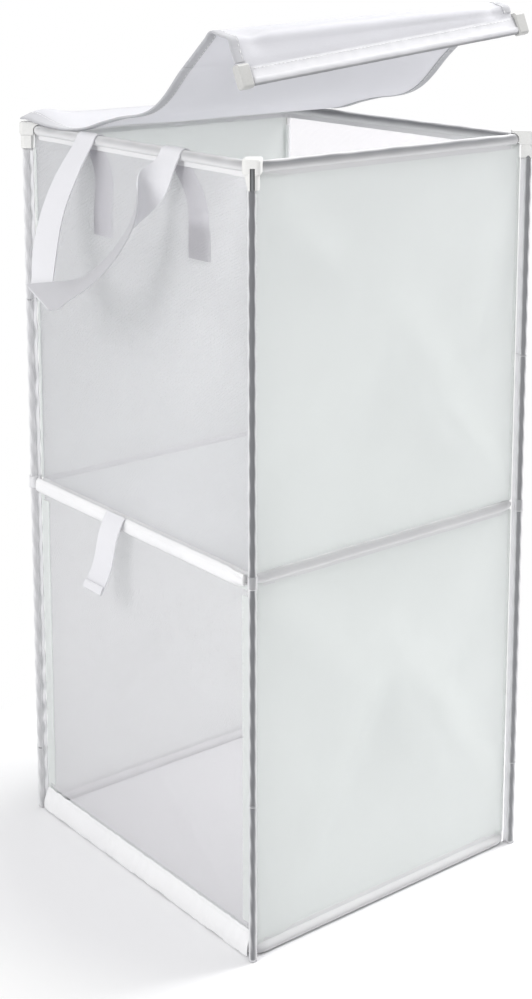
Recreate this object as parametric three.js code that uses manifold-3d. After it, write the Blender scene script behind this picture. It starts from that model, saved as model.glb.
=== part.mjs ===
// Two-bin laundry hamper: steel rails in cloth piping, corner posts in sewn sleeves, mesh and woven
// walls, a drop-front lower door, one webbing handle and a soft lid with a stiffening bar.
// Millimetres, +Z up. The origin is on the floor under the middle of the body. The woven front wall
// faces -Y, the mesh side with the handle and the door faces -X, and the lid is hinged along +Y.
import * as THREE from "three";
import { mergeVertices } from "three/addons/utils/BufferGeometryUtils.js";
import Module from "manifold-3d";

const wasm = await Module();
wasm.setup();

// Body
const bodyWidth = 328; // between the middles of the two mesh walls, along X
const bodyDepth = 356; // between the middles of the two woven walls, along Y
const bodyHeight = 740; // floor to the top of the rim
const middleRailHeight = 366; // floor to the middle of the middle rail
const seamGap = 0.35; // between pieces that are sewn or pushed together

// Rails: a closed steel ring in piping, at the rim, between the bins and on the floor
const railRodDiameter = 5.6;
const railCornerRadius = 12;
const pipingPlay = 0.4;
const pipingWall = 2.3;
const pipingMouthDegrees = 34; // the lap of the piping stays open over this angle
const railCornerSteps = 4;

// Corner posts and the sleeves that stand out diagonally from the corners
const postDiameter = 6;
const postOffset = 8; // from the corner of the walls to the post, along the diagonal
const postFootHeight = 2.4;
const postTopBelowRim = 2.4;
const sleevePlay = 0.4;
const sleeveWall = 1;
const sleeveFootHeight = 0.6;
const sleeveFootThickness = 1.2;
const finThickness = 1.6;
const finStart = 1.1; // from the corner of the walls, so it clears the rail corners
const collarHeight = 18;
const collarGrowth = 1; // extra wall where the middle piping wraps the sleeve
const roundSides = 16;

// Plastic clips on the rim corners
const clipInnerReach = 9; // inwards from the corner of the walls, along the diagonal
const clipOuterReach = 13.6;
const clipWidth = 16.4;
const clipCornerRadius = 4;
const clipRise = 3; // above the rim
const clipHeadDepth = 11; // below the rim
const clipSkirtDepth = 24; // below the rim, round the post
const clipSkirtWidth = 12.4;
const clipSkirtStart = 1.6;
const clipPlay = 0.4;
const clipBevel = 2;
const clipWindowWidth = 4.4;
const clipWindowAside = 1; // the window lies a little to one side of the post
const clipWindowTop = 5; // below the rim
const clipTongueTip = 1.6; // the tongue beside the window narrows to this width
const cutOverrun = 4;

// Walls
const clothThickness = 1.2;
const wallBow = 3; // how far a woven wall pulls in at its middle
const wallSteps = 6;

// Bin floors
const dividerSag = 8;
const baseBoardThickness = 2.4;
const floorSagSteps = 4;

// Lower door, in the mesh side that faces -X
const sillHeight = 25;
const sillStand = 0.35; // in front of the bottom piping
const sillLowerEdge = 1;
const sillKneeHeight = 10;
const doorMeshBelowRail = 13; // from the middle rail to where the mesh meets the stiffened band
const doorKneeBelowRail = 7;
const doorBandAboveRail = 5.5;
const doorBandThickness = 1.5;
const fastenerThickness = 1.2;
const fastenerHeight = 10;
const fastenerGap = 0.35;
const doorSideGap = 3; // between the door and the corner sleeves' wall corner
const doorHemWidth = 10;
const doorHemThickness = 0.9;

// Pull tab on the door
const tabWidth = 31;
const tabLength = 75;
const tabThickness = 1.4;
const tabMiddle = 25; // along Y
const tabLeanDegrees = 20; // degrees out from the door
const tabHemLength = 9;
const tabHemThickness = 1.1;
const tabStand = 0.4;

// Handle of webbing over the rim of the side that faces -X
const webbingWidth = 30;
const webbingThickness = 1.3;
const handleBackLeg = 73; // where the legs cross the rim, along Y
const handleFrontLeg = -66;
const handlePatchBack = 57; // where the legs are sewn on, along Y
const handlePatchFront = -98;
const handleDrop = 168; // length of the loop from the rim down its own slope
const handleLeanDegrees = 31; // degrees that the loop stands away from the wall
const handlePivotGap = 0.4; // the loop turns about a line just outside the legs
const handleLoopSteps = 40;
const handleBulge = 8; // how far the inside legs stand off the mesh
const handleLegRise = 30; // of the leg above its patch, where it has bulged
const legBulgeShares = [0, 0, 0.5, 1]; // of the bulge, at each place up the inside of a leg
const legAsideShares = [0, 0, 0, 0.5]; // of the way from the patch over to the rim crossing
const handleStraight = 3; // below the rim, before the legs of the loop draw together
const loopTaperShares = [1.25, 0.67]; // powers that draw the loop narrow at its bottom
const patchHeight = 28;
const patchMiddleBelowRim = 84;
const patchThickness = 1;

// Lid: one cloth with bound edges, folded along five lines. Lengths run from the hinge line.
const lidWidth = 332;
const lidHingeBehindWall = 5; // behind the middle of the back wall
const lidHingeAboveRim = 8.4;
const lidClothThickness = 1.4;
const lidBindingWidth = 9;
const lidBindingThickness = 2.2;
const lidRearLength = 92;
const lidMiddleEnd = 219;
const lidCrestLeft = 334.5; // the soft crest runs a little askew
const lidCrestRight = 360;
const lidBrowLeft = 359; // where the crest has turned down and the flap starts to hang
const lidBrowRight = 375;
const lidFrontFold = 381;
const lidRearSagDegrees = 3.2; // degrees, at the photographed opening
const lidLowerCurlDegrees = 16.5;
const lidUpperCurlDegrees = 26.4;
const lidCrestFoldDegrees = 51;
const lidBrowFoldDegrees = 58;
const lidBarFoldDegrees = 2;
const hingeTapeThickness = 1.2;
const hingeTapeEndGap = 16; // from the corner of the walls to the end of the tape
const hingeTapeReach = 8; // below the middle of the back rail

// Bar in the lid's front hem, with its end caps
const barDiameter = 5;
const barDrop = 18; // from the fold to the middle of the bar
const barPlay = 0.35;
const barHemWall = 1.3;
const barHemWebThickness = 1.6;
const barSpan = 348; // over both end caps
const barAside = 6; // the bar has slid this far towards +X in its hem
const capLength = 13;
const capHeight = 22;
const capThickness = 9.4;
const capOverlap = 6; // over the end of the bar
const capBevel = 1.2;
const capCornerRadius = 3;
const capBelowBar = 5.6;

// Worked out once
const halfWidth = bodyWidth / 2;
const halfDepth = bodyDepth / 2;
const rodRadius = railRodDiameter / 2;
const pipingBore = rodRadius + pipingPlay;
const pipingRadius = pipingBore + pipingWall;
const rimRailHeight = bodyHeight - pipingRadius;
const postRadius = postDiameter / 2;
const sleeveBore = postRadius + sleevePlay;
const sleeveRadius = sleeveBore + sleeveWall;
const halfCloth = clothThickness / 2;
const rad = THREE.MathUtils.degToRad;

// Colours and finishes
const finish = (color, roughness, metalness = 0) => new THREE.MeshStandardMaterial({ color, roughness, metalness });
const meshCloth = finish(0xdcdddf, 0.85);
const wovenCloth = finish(0xe4e7e6, 0.8);
const lidCloth = finish(0xe9e9ea, 0.8);
const bindingCloth = finish(0xdedede, 0.9);
const bandCloth = finish(0xf4f4f4, 0.85);
const webbing = finish(0xf0f0f0, 0.9);
const board = finish(0xe6e6e6, 0.8);
const fastener = finish(0xededed, 0.95);
const clipPlastic = finish(0xe8e8e2, 0.45);
const steel = finish(0x9b9d9f, 0.35, 0.9);

const model = new THREE.Group();

function add(parent, name, geometry, material) {
  const mesh = new THREE.Mesh(geometry, material);
  mesh.name = name;
  parent.add(mesh);
  return mesh;
}

// A solid from rings of points: each ring has the same count, and next rings are joined by walls.
// A closed loft joins its last ring to its first, and an open one gets end faces. The walls of a
// ring's two halves are split the same way, so the two faces of a thin twisted piece never cross.
function loft(rings, closed = false) {
  const count = rings[0].length;
  const points = rings.flat();
  const faces = [];
  const spans = closed ? rings.length : rings.length - 1;
  for (let i = 0; i < spans; i++) {
    const a = i * count;
    const b = ((i + 1) % rings.length) * count;
    for (let j = 0; j < count; j++) {
      const k = (j + 1) % count;
      if (j < count / 2) faces.push(a + j, a + k, b + k, a + j, b + k, b + j);
      else faces.push(a + j, a + k, b + j, a + k, b + k, b + j);
    }
  }
  if (!closed) {
    faces.push(...endFace(rings[0], 0, true));
    faces.push(...endFace(rings[rings.length - 1], (rings.length - 1) * count, false));
  }
  const geometry = new THREE.BufferGeometry();
  geometry.setAttribute("position", new THREE.Float32BufferAttribute(points.flatMap((p) => [p.x, p.y, p.z]), 3));
  geometry.setIndex(faces);
  return facingOut(geometry);
}

// Triangles that close a flat ring, seen in its own plane.
function endFace(ring, first, turned) {
  const normal = new THREE.Vector3();
  ring.forEach((p, i) => normal.add(p.clone().cross(ring[(i + 1) % ring.length])));
  normal.normalize();
  const across = ring[1].clone().sub(ring[0]).normalize();
  const along = normal.clone().cross(across);
  const flat = ring.map((p) => new THREE.Vector2(p.dot(across), p.dot(along)));
  const out = [];
  for (const [a, b, c] of THREE.ShapeUtils.triangulateShape(flat, [])) {
    if (turned) out.push(first + a, first + c, first + b);
    else out.push(first + a, first + b, first + c);
  }
  return out;
}

// Turns the faces of a closed geometry outwards if they point in.
function facingOut(geometry) {
  const p = geometry.getAttribute("position");
  const index = geometry.getIndex();
  const at = (i) => new THREE.Vector3().fromBufferAttribute(p, index.getX(i));
  let volume = 0;
  for (let i = 0; i < index.count; i += 3) volume += at(i).dot(at(i + 1).cross(at(i + 2)));
  if (volume < 0) {
    for (let i = 0; i < index.count; i += 3) {
      const kept = index.getX(i + 1);
      index.setX(i + 1, index.getX(i + 2));
      index.setX(i + 2, kept);
    }
  }
  geometry.computeVertexNormals();
  return geometry;
}

// Joins and cuts
function solid(geometry) {
  const bare = geometry.clone();
  for (const name of Object.keys(bare.attributes)) if (name !== "position") bare.deleteAttribute(name);
  const merged = mergeVertices(bare, 1e-4);
  return new wasm.Manifold(
    new wasm.Mesh({
      numProp: 3,
      vertProperties: new Float32Array(merged.getAttribute("position").array),
      triVerts: new Uint32Array(merged.getIndex().array),
    }),
  );
}
function geometryOf(made) {
  const mesh = made.getMesh();
  const geometry = new THREE.BufferGeometry();
  const places = [];
  for (let i = 0; i < mesh.numVert; i++)
    for (let j = 0; j < 3; j++) places.push(mesh.vertProperties[i * mesh.numProp + j]);
  geometry.setAttribute("position", new THREE.Float32BufferAttribute(places, 3));
  geometry.setIndex([...mesh.triVerts]);
  geometry.computeVertexNormals();
  return geometry;
}
const join = (first, ...rest) => geometryOf(rest.reduce((a, b) => a.add(solid(b)), solid(first)));
const cut = (first, ...rest) => geometryOf(rest.reduce((a, b) => a.subtract(solid(b)), solid(first)));

function block(x0, x1, y0, y1, z0, z1) {
  return new THREE.BoxGeometry(x1 - x0, y1 - y0, z1 - z0).translate((x0 + x1) / 2, (y0 + y1) / 2, (z0 + z1) / 2);
}
function prism(shape, z0, z1, steps = roundSides) {
  return new THREE.ExtrudeGeometry(shape, { depth: z1 - z0, bevelEnabled: false, curveSegments: steps }).translate(0, 0, z0);
}
// A flat outline in X and Z, stretched along Y.
function alongY(points, y0, y1) {
  return loft([y0, y1].map((y) => points.map(([x, z]) => new THREE.Vector3(x, y, z))));
}
// A flat outline in Y and Z, stretched along X.
function alongX(points, x0, x1) {
  return loft([x0, x1].map((x) => points.map(([y, z]) => new THREE.Vector3(x, y, z))));
}

// The rounded rectangle that a rail follows: places with the direction that points outwards.
function railPath(inset = 0) {
  const path = [];
  const radius = railCornerRadius - inset;
  const cx = halfWidth - railCornerRadius;
  const cy = halfDepth - railCornerRadius;
  const corners = [[cx, cy], [-cx, cy], [-cx, -cy], [cx, -cy]];
  for (const [turn, [x, y]] of corners.entries()) {
    for (let i = 0; i <= railCornerSteps; i++) {
      const angle = ((turn + i / railCornerSteps) * Math.PI) / 2;
      const out = new THREE.Vector2(Math.cos(angle), Math.sin(angle));
      path.push({ place: new THREE.Vector2(x, y).addScaledVector(out, radius), out });
    }
  }
  return path;
}
function alongRail(profile, height) {
  return loft(
    railPath().map(({ place, out }) =>
      profile.map(([a, b]) => new THREE.Vector3(place.x + a * out.x, place.y + a * out.y, height + b)),
    ),
    true,
  );
}
function circle(radius, sides, from = 0, to = 2 * Math.PI, whole = true) {
  const points = [];
  const steps = whole ? sides : sides + 1;
  for (let i = 0; i < steps; i++) {
    const angle = from + ((to - from) * i) / sides;
    points.push([radius * Math.cos(angle), radius * Math.sin(angle)]);
  }
  return points;
}
// Piping is cloth wrapped round the rod, open where its two edges meet the wall.
function pipingProfile(mouthDirection) {
  const half = rad(pipingMouthDegrees) / 2;
  const from = rad(mouthDirection) + half;
  const to = rad(mouthDirection) + 2 * Math.PI - half;
  const outer = circle(pipingRadius, 12, from, to, false);
  const inner = circle(pipingBore, 8, from, to, false);
  return [...outer, ...inner.reverse()];
}

const rails = [
  ["rim", rimRailHeight, -90],
  ["middle", middleRailHeight, 180],
  ["base", pipingRadius, 180],
];
for (const [name, height, mouth] of rails) {
  add(model, name + "_rail_rod", alongRail(circle(rodRadius, 8), height), steel);
  add(model, name + "_rail_piping", alongRail(pipingProfile(mouth), height), bandCloth);
}

// Corner posts, each in a sleeve with a flat fin that is sewn into the corner seam
function sleeveShape(radius, web, bore) {
  const shape = new THREE.Shape();
  const bite = Math.asin(web / 2 / radius);
  shape.moveTo(finStart, -web / 2);
  shape.absarc(postOffset, 0, radius, Math.PI + bite, 3 * Math.PI - bite, false);
  shape.lineTo(finStart, web / 2);
  shape.closePath();
  if (bore) {
    const hole = new THREE.Path();
    hole.absarc(postOffset, 0, bore, 0, 2 * Math.PI, true);
    shape.holes.push(hole);
  }
  return shape;
}
const sleeveTop = bodyHeight - clipSkirtDepth - seamGap;
function cornerSleeve() {
  const tube = prism(sleeveShape(sleeveRadius, finThickness, sleeveBore), sleeveFootHeight, sleeveTop);
  const collar = prism(
    sleeveShape(sleeveRadius + collarGrowth, finThickness + collarGrowth, sleeveBore),
    middleRailHeight - collarHeight / 2,
    middleRailHeight + collarHeight / 2,
  );
  const foot = prism(
    sleeveShape(sleeveRadius, finThickness, 0),
    sleeveFootHeight,
    sleeveFootHeight + sleeveFootThickness,
  );
  return join(tube, collar, foot);
}

// A clip is a cap over the rail corner with a socket for the post and a window that shows it.
function cornerClip() {
  const half = clipWidth / 2;
  const top = bodyHeight + clipRise;
  const head = new THREE.Shape();
  head.moveTo(-clipInnerReach, -half + clipCornerRadius);
  head.lineTo(-clipInnerReach, half - clipCornerRadius);
  head.absarc(-clipInnerReach + clipCornerRadius, half - clipCornerRadius, clipCornerRadius, Math.PI, Math.PI / 2, true);
  head.absarc(clipOuterReach - clipCornerRadius, half - clipCornerRadius, clipCornerRadius, Math.PI / 2, 0, true);
  head.absarc(clipOuterReach - clipCornerRadius, clipCornerRadius - half, clipCornerRadius, 0, -Math.PI / 2, true);
  head.absarc(-clipInnerReach + clipCornerRadius, clipCornerRadius - half, clipCornerRadius, -Math.PI / 2, -Math.PI, true);
  const bottom = bodyHeight - clipHeadDepth;
  const cap = new THREE.ExtrudeGeometry(head, {
    depth: top - bottom - 2 * clipBevel,
    bevelEnabled: true,
    bevelThickness: clipBevel,
    bevelSize: clipBevel,
    bevelOffset: -clipBevel,
    bevelSegments: 2,
    curveSegments: 3,
  }).translate(0, 0, bottom + clipBevel);
  const skirt = new THREE.Shape();
  const skirtHalf = clipSkirtWidth / 2;
  skirt.moveTo(clipSkirtStart, -skirtHalf);
  skirt.lineTo(postOffset, -skirtHalf);
  skirt.absellipse(postOffset, 0, clipOuterReach - postOffset, skirtHalf, -Math.PI / 2, Math.PI / 2, false, 0);
  skirt.lineTo(clipSkirtStart, skirtHalf);
  skirt.closePath();
  const skirtBottom = bodyHeight - clipSkirtDepth;
  const windowLeft = clipWindowAside - clipWindowWidth / 2;
  const tip = windowLeft - clipTongueTip;
  const slope = [
    [-skirtHalf - cutOverrun, bottom],
    [-skirtHalf, bottom],
    [tip, skirtBottom],
    [tip, skirtBottom - cutOverrun],
    [-skirtHalf - cutOverrun, skirtBottom - cutOverrun],
  ];
  const bore = new THREE.Shape();
  bore.absarc(postOffset, 0, postRadius + clipPlay, 0, 2 * Math.PI, false);
  const body = join(cap, prism(skirt, skirtBottom, bottom + 2 * clipBevel));
  return cut(
    body,
    railTunnel(skirtBottom - cutOverrun),
    prism(bore, skirtBottom - cutOverrun, bodyHeight - postTopBelowRim + clipPlay),
    block(postOffset, clipOuterReach + cutOverrun, windowLeft, windowLeft + clipWindowWidth,
      skirtBottom - cutOverrun, bodyHeight - clipWindowTop),
    alongX(slope, clipSkirtStart - cutOverrun, clipOuterReach + cutOverrun),
  );
}

// The room that the rim piping and the walls under it take up in a clip: open below, and bent
// round the corner like the rail.
function railTunnel(floor) {
  const radius = pipingRadius + clipPlay;
  const middle = (1 - Math.SQRT2) * railCornerRadius - railCornerRadius;
  const legEnd = clipInnerReach + clipWidth;
  const steps = railCornerSteps;
  const cornerHalf = Math.PI / 4;
  const bend = Array.from({ length: 2 * steps + 1 }, (_, i) => cornerHalf * (1 - i / steps));
  const path = bend.map((angle) => [
    middle + railCornerRadius * Math.cos(angle), railCornerRadius * Math.sin(angle), angle,
  ]);
  const [x, y] = path[0];
  const run = [[x - legEnd, y + legEnd, cornerHalf], ...path, [x - legEnd, -y - legEnd, -cornerHalf]];
  const arch = circle(radius, 8, 0, Math.PI, false).map(([a, b]) => [a, rimRailHeight + b]);
  const section = [...arch, [-radius, floor], [radius, floor]];
  return loft(
    run.map(([px, py, angle]) =>
      section.map(([a, z]) => new THREE.Vector3(px + a * Math.cos(angle), py + a * Math.sin(angle), z)),
    ),
  );
}

const cornerNames = [
  ["front_left", -1, -1, -135],
  ["front_right", 1, -1, -45],
  ["back_right", 1, 1, 45],
  ["back_left", -1, 1, 135],
];
for (const [name, sx, sy, turn] of cornerNames) {
  const corner = new THREE.Group();
  corner.position.set(sx * halfWidth, sy * halfDepth, 0);
  corner.rotation.z = rad(turn);
  model.add(corner);
  const post = new THREE.CylinderGeometry(
    postRadius, postRadius, bodyHeight - postTopBelowRim - postFootHeight, roundSides,
  ).rotateX(Math.PI / 2).translate(postOffset, 0, (bodyHeight - postTopBelowRim + postFootHeight) / 2);
  add(corner, name + "_post", post, steel);
  add(corner, name + "_sleeve", cornerSleeve(), bandCloth);
  add(corner, name + "_clip", cornerClip(), clipPlastic);
}

// A cloth wall, flat or pulled in at its middle, standing in X and Z with its outside towards -Y.
function clothWall(width, z0, z1, bow) {
  const rings = [];
  const across = bow ? wallSteps : 1;
  const up = bow ? wallSteps : 1;
  const side = (u, v, offset) => {
    const pull = bow * (1 - (2 * u - 1) ** 2) * (1 - (2 * v - 1) ** 2);
    return new THREE.Vector3(width * (u - 1 / 2), pull + offset, z0 + (z1 - z0) * v);
  };
  for (let i = 0; i <= across; i++) {
    const ring = [];
    for (let j = 0; j <= up; j++) ring.push(side(i / across, j / up, -halfCloth));
    for (let j = up; j >= 0; j--) ring.push(side(i / across, j / up, halfCloth));
    rings.push(ring);
  }
  return loft(rings);
}
const upperWallLow = middleRailHeight + pipingRadius + seamGap;
const upperWallHigh = rimRailHeight - pipingRadius - seamGap;
const lowerWallLow = 2 * pipingRadius + seamGap;
const lowerWallHigh = middleRailHeight - pipingRadius - seamGap;
const wovenWidth = bodyWidth - clothThickness - 2 * seamGap;
const meshWidth = bodyDepth - clothThickness - 2 * seamGap;
const walls = [
  ["upper_front_wall", wovenWidth, 0, -halfDepth, 0, wallBow, wovenCloth, upperWallLow, upperWallHigh],
  ["upper_back_wall", wovenWidth, 0, halfDepth, 180, wallBow, wovenCloth, upperWallLow, upperWallHigh],
  ["upper_left_mesh", meshWidth, -halfWidth, 0, -90, 0, meshCloth, upperWallLow, upperWallHigh],
  ["upper_right_mesh", meshWidth, halfWidth, 0, 90, 0, meshCloth, upperWallLow, upperWallHigh],
  ["lower_front_wall", wovenWidth, 0, -halfDepth, 0, wallBow, wovenCloth, lowerWallLow, lowerWallHigh],
  ["lower_back_wall", wovenWidth, 0, halfDepth, 180, wallBow, wovenCloth, lowerWallLow, lowerWallHigh],
  ["lower_right_mesh", meshWidth, halfWidth, 0, 90, 0, meshCloth, lowerWallLow, lowerWallHigh],
];
for (const [name, width, x, y, turn, bow, material, low, high] of walls) {
  const wall = add(model, name, clothWall(width, low, high, bow), material);
  wall.position.set(x, y, 0);
  wall.rotation.z = rad(turn);
}

// Bin floors: the divider hangs from the middle rail and sags, and a board lies on the floor.
function sagFloor(height, edge) {
  const outline = railPath(edge).map(({ place }) => place);
  const ring = (share, above) => outline.map(
    (p) => new THREE.Vector3(p.x * share, p.y * share, height - dividerSag * (1 - share * share) + above),
  );
  const shares = Array.from({ length: floorSagSteps }, (_, i) => (i + 1) / floorSagSteps);
  return loft([
    ...shares.map((share) => ring(share, -halfCloth)),
    ...shares.reverse().map((share) => ring(share, halfCloth)),
  ]);
}
add(model, "middle_divider", sagFloor(middleRailHeight, pipingBore), wovenCloth);
const boardEdge = Math.sqrt(pipingRadius ** 2 - (pipingRadius - baseBoardThickness) ** 2) + seamGap;
const boardShape = new THREE.Shape(railPath(boardEdge).map(({ place }) => place));
add(model, "base_board", prism(boardShape, 0, baseBoardThickness), board);

// Lower door and the sill band that carries it
const outerPiping = -halfWidth - pipingRadius;
const sillOuter = outerPiping - sillStand - clothThickness;
const doorWidth = meshWidth - 2 * doorSideGap;
const doorTopEdge = middleRailHeight - doorMeshBelowRail;
const doorBandKnee = middleRailHeight - doorKneeBelowRail;
const doorBandTop = middleRailHeight + doorBandAboveRail;
add(
  model,
  "door_sill_band",
  alongY(
    [
      [sillOuter, sillLowerEdge],
      [outerPiping - sillStand, sillLowerEdge],
      [outerPiping - sillStand, sillKneeHeight],
      [-halfWidth + halfCloth, sillHeight],
      [-halfWidth - halfCloth, sillHeight],
      [sillOuter, sillKneeHeight],
    ],
    -meshWidth / 2,
    meshWidth / 2,
  ),
  bandCloth,
);
const door = new THREE.Group();
model.add(door);
const doorLow = sillHeight + seamGap;
add(door, "door_mesh", block(-halfWidth - halfCloth, -halfWidth + halfCloth, -doorWidth / 2, doorWidth / 2, doorLow, doorTopEdge), meshCloth);
const railStripOuter = outerPiping - seamGap - fastenerThickness;
const doorStripOuter = railStripOuter - fastenerGap - fastenerThickness;
const bandInner = doorStripOuter - seamGap;
const bandOuter = bandInner - doorBandThickness;
add(
  model,
  "rail_fastener_strip",
  block(railStripOuter, outerPiping - seamGap, -doorWidth / 2, doorWidth / 2,
    middleRailHeight - fastenerHeight / 2, middleRailHeight + fastenerHeight / 2),
  fastener,
);
add(
  door,
  "door_fastener_strip",
  block(doorStripOuter, doorStripOuter + fastenerThickness, -doorWidth / 2, doorWidth / 2,
    middleRailHeight - fastenerHeight / 2, middleRailHeight + fastenerHeight / 2),
  fastener,
);
const bandFoot = doorTopEdge + seamGap;
add(
  door,
  "door_top_band",
  alongY(
    [
      [-halfWidth + halfCloth, bandFoot],
      [bandInner, doorBandKnee],
      [bandInner, doorBandTop],
      [bandOuter, doorBandTop],
      [bandOuter, doorBandKnee - doorBandThickness],
      [-halfWidth - halfCloth, bandFoot],
    ],
    -doorWidth / 2,
    doorWidth / 2,
  ),
  bandCloth,
);
const doorHemOuter = -halfWidth - halfCloth - seamGap;
for (const [name, side] of [["door_front_hem", -1], ["door_back_hem", 1]]) {
  const edge = (side * doorWidth) / 2;
  const inner = edge - side * doorHemWidth;
  add(
    door,
    name,
    block(doorHemOuter - doorHemThickness, doorHemOuter, Math.min(edge, inner), Math.max(edge, inner),
      doorLow + doorHemWidth / 2, doorTopEdge - doorHemWidth / 2),
    bandCloth,
  );
}

// A flat strap through places, each with the direction of its width.
function strap(stations, width, thickness) {
  const rings = stations.map(({ place, across }, i) => {
    const before = stations[Math.max(i - 1, 0)].place;
    const after = stations[Math.min(i + 1, stations.length - 1)].place;
    const along = after.clone().sub(before).normalize();
    const w = across.clone().addScaledVector(along, -across.dot(along)).normalize();
    const n = along.clone().cross(w);
    const corner = (a, b) => place.clone().addScaledVector(w, (a * width) / 2).addScaledVector(n, (b * thickness) / 2);
    return [corner(-1, -1), corner(1, -1), corner(1, 1), corner(-1, 1)];
  });
  return loft(rings);
}

// Pull tab: webbing sewn to the top of the band, with a turned hem at its free end
const tab = new THREE.Group();
tab.position.set(bandOuter - tabStand - tabThickness / 2, tabMiddle, doorBandTop);
tab.rotation.y = rad(tabLeanDegrees);
door.add(tab);
const tabBody = block(-tabThickness / 2, tabThickness / 2, -tabWidth / 2, tabWidth / 2, -tabLength, 0);
const tabHem = block(-tabThickness / 2 - tabHemThickness, 0, -tabWidth / 2, tabWidth / 2, -tabLength, tabHemLength - tabLength);
add(tab, "pull_tab", join(tabBody, tabHem), webbing);

// Handle: the legs come up inside the mesh, cross the rim and carry a loop that hangs outside.
const strapRadius = pipingRadius + seamGap + webbingThickness / 2;
const legPlane = -halfWidth + halfCloth + seamGap + webbingThickness / 2;
const patchMiddle = bodyHeight - patchMiddleBelowRim;
const patchTop = patchMiddle + patchHeight / 2;
const alongRim = new THREE.Vector3(0, 1, 0);
function handleLeg(rimPlace, patchPlace) {
  const heights = [
    patchMiddle - patchHeight / 2, patchTop, patchTop + handleLegRise / 2, patchTop + handleLegRise,
  ];
  const stations = heights.map((z, i) => ({
    place: new THREE.Vector3(
      legPlane + handleBulge * legBulgeShares[i],
      patchPlace + (rimPlace - patchPlace) * legAsideShares[i],
      z,
    ),
    across: alongRim,
  }));
  const over = [[strapRadius, -strapRadius], ...circle(strapRadius, roundSides, 0, Math.PI, false)];
  for (const [a, b] of over)
    stations.push({ place: new THREE.Vector3(a - halfWidth, rimPlace, rimRailHeight + b), across: alongRim });
  return strap(stations, webbingWidth, webbingThickness);
}
const patchFace = legPlane + webbingThickness / 2 + seamGap;
for (const [name, rimPlace, patchPlace] of [
  ["handle_back", handleBackLeg, handlePatchBack],
  ["handle_front", handleFrontLeg, handlePatchFront],
]) {
  add(model, name + "_leg", handleLeg(rimPlace, patchPlace), webbing);
  const patch = block(
    patchFace, patchFace + patchThickness, patchPlace - webbingWidth / 2, patchPlace + webbingWidth / 2,
    patchMiddle - patchHeight / 2, patchTop,
  );
  add(model, name + "_patch", patch, webbing);
}

// The loop hangs in a plane that leans out. Its webbing lies along the rim at the legs and turns
// half round on the way, so that its outer face is the inside of the loop at the bottom.
const handle = new THREE.Group();
handle.position.set(
  -halfWidth - strapRadius - (webbingThickness + handlePivotGap) / 2, (handleBackLeg + handleFrontLeg) / 2, rimRailHeight,
);
handle.rotation.y = rad(handleLeanDegrees);
model.add(handle);
function handleLoop() {
  const reach = (handleBackLeg - handleFrontLeg) / 2;
  const inside = (webbingThickness + handlePivotGap) / 2;
  const start = -handlePivotGap - handleStraight;
  const [narrow, round] = loopTaperShares;
  const stations = Array.from({ length: handleLoopSteps + 1 }, (_, i) => {
    const share = i / handleLoopSteps;
    const side = Math.cos(Math.PI * share);
    const turn = Math.PI * THREE.MathUtils.smoothstep(share, 0, 1);
    const depth = (handleDrop - handleStraight) * (1 - Math.abs(side) ** narrow) ** round;
    return {
      place: new THREE.Vector3(inside, reach * side, start - depth),
      across: new THREE.Vector3(-Math.sin(turn), Math.cos(turn), 0),
    };
  });
  const end = (side) => ({
    place: new THREE.Vector3(inside, side * reach, -handlePivotGap),
    across: new THREE.Vector3(0, side, 0),
  });
  return strap([end(1), ...stations, end(-1)], webbingWidth, webbingThickness);
}
add(handle, "handle_loop", handleLoop(), webbing);

// Lid. It is drawn flat from its hinge line and away along -Y, and each fold turns all beyond it.
const hingeHeight = bodyHeight + lidHingeAboveRim;
const hingePlace = halfDepth + lidHingeBehindWall;
const halfLid = lidWidth / 2;
function foldedAt(parent, left, right, degrees, height = 0) {
  const from = new THREE.Vector3(-halfLid, -left, height);
  const to = new THREE.Vector3(halfLid, -right, height);
  const turned = new THREE.Group();
  turned.position.copy(from);
  turned.quaternion.setFromAxisAngle(to.sub(from).normalize(), rad(degrees));
  const flat = new THREE.Group();
  flat.position.copy(from).negate();
  turned.add(flat);
  parent.add(turned);
  return flat;
}
// Half the gap in the cloth that lets a fold reach an angle.
const foldGap = (degrees) => (lidBindingThickness / 2) * Math.tan(rad(degrees) / 2) + seamGap / 2;
function lidPanel([startLeft, startRight], startGap, [endLeft, endRight], endGap) {
  const bound = halfLid - lidBindingWidth;
  const b = lidBindingThickness / 2;
  const c = lidClothThickness / 2;
  const section = [
    [-halfLid, -b], [-bound, -b], [-bound, -c], [bound, -c], [bound, -b], [halfLid, -b],
    [halfLid, b], [bound, b], [bound, c], [-bound, c], [-bound, b], [-halfLid, b],
  ];
  const ring = (left, right, gap) => section.map(([x, z]) => {
    const share = (x + halfLid) / lidWidth;
    return new THREE.Vector3(x, -(left + (right - left) * share + gap), z);
  });
  return loft([ring(startLeft, startRight, startGap), ring(endLeft, endRight, -endGap)]);
}
const hingeLine = [0, 0];
const lowerLine = [lidRearLength, lidRearLength];
const upperLine = [lidMiddleEnd, lidMiddleEnd];
const crestLine = [lidCrestLeft, lidCrestRight];
const browLine = [lidBrowLeft, lidBrowRight];
const barLine = [lidFrontFold, lidFrontFold];
const lid = new THREE.Group();
lid.position.set(0, hingePlace, hingeHeight);
model.add(lid);
const rear = foldedAt(lid, ...hingeLine, lidRearSagDegrees);
const middle = foldedAt(rear, ...lowerLine, -lidLowerCurlDegrees);
const front = foldedAt(middle, ...upperLine, -lidUpperCurlDegrees);
const crest = foldedAt(front, ...crestLine, lidCrestFoldDegrees);
const brow = foldedAt(crest, ...browLine, lidBrowFoldDegrees);
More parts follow.
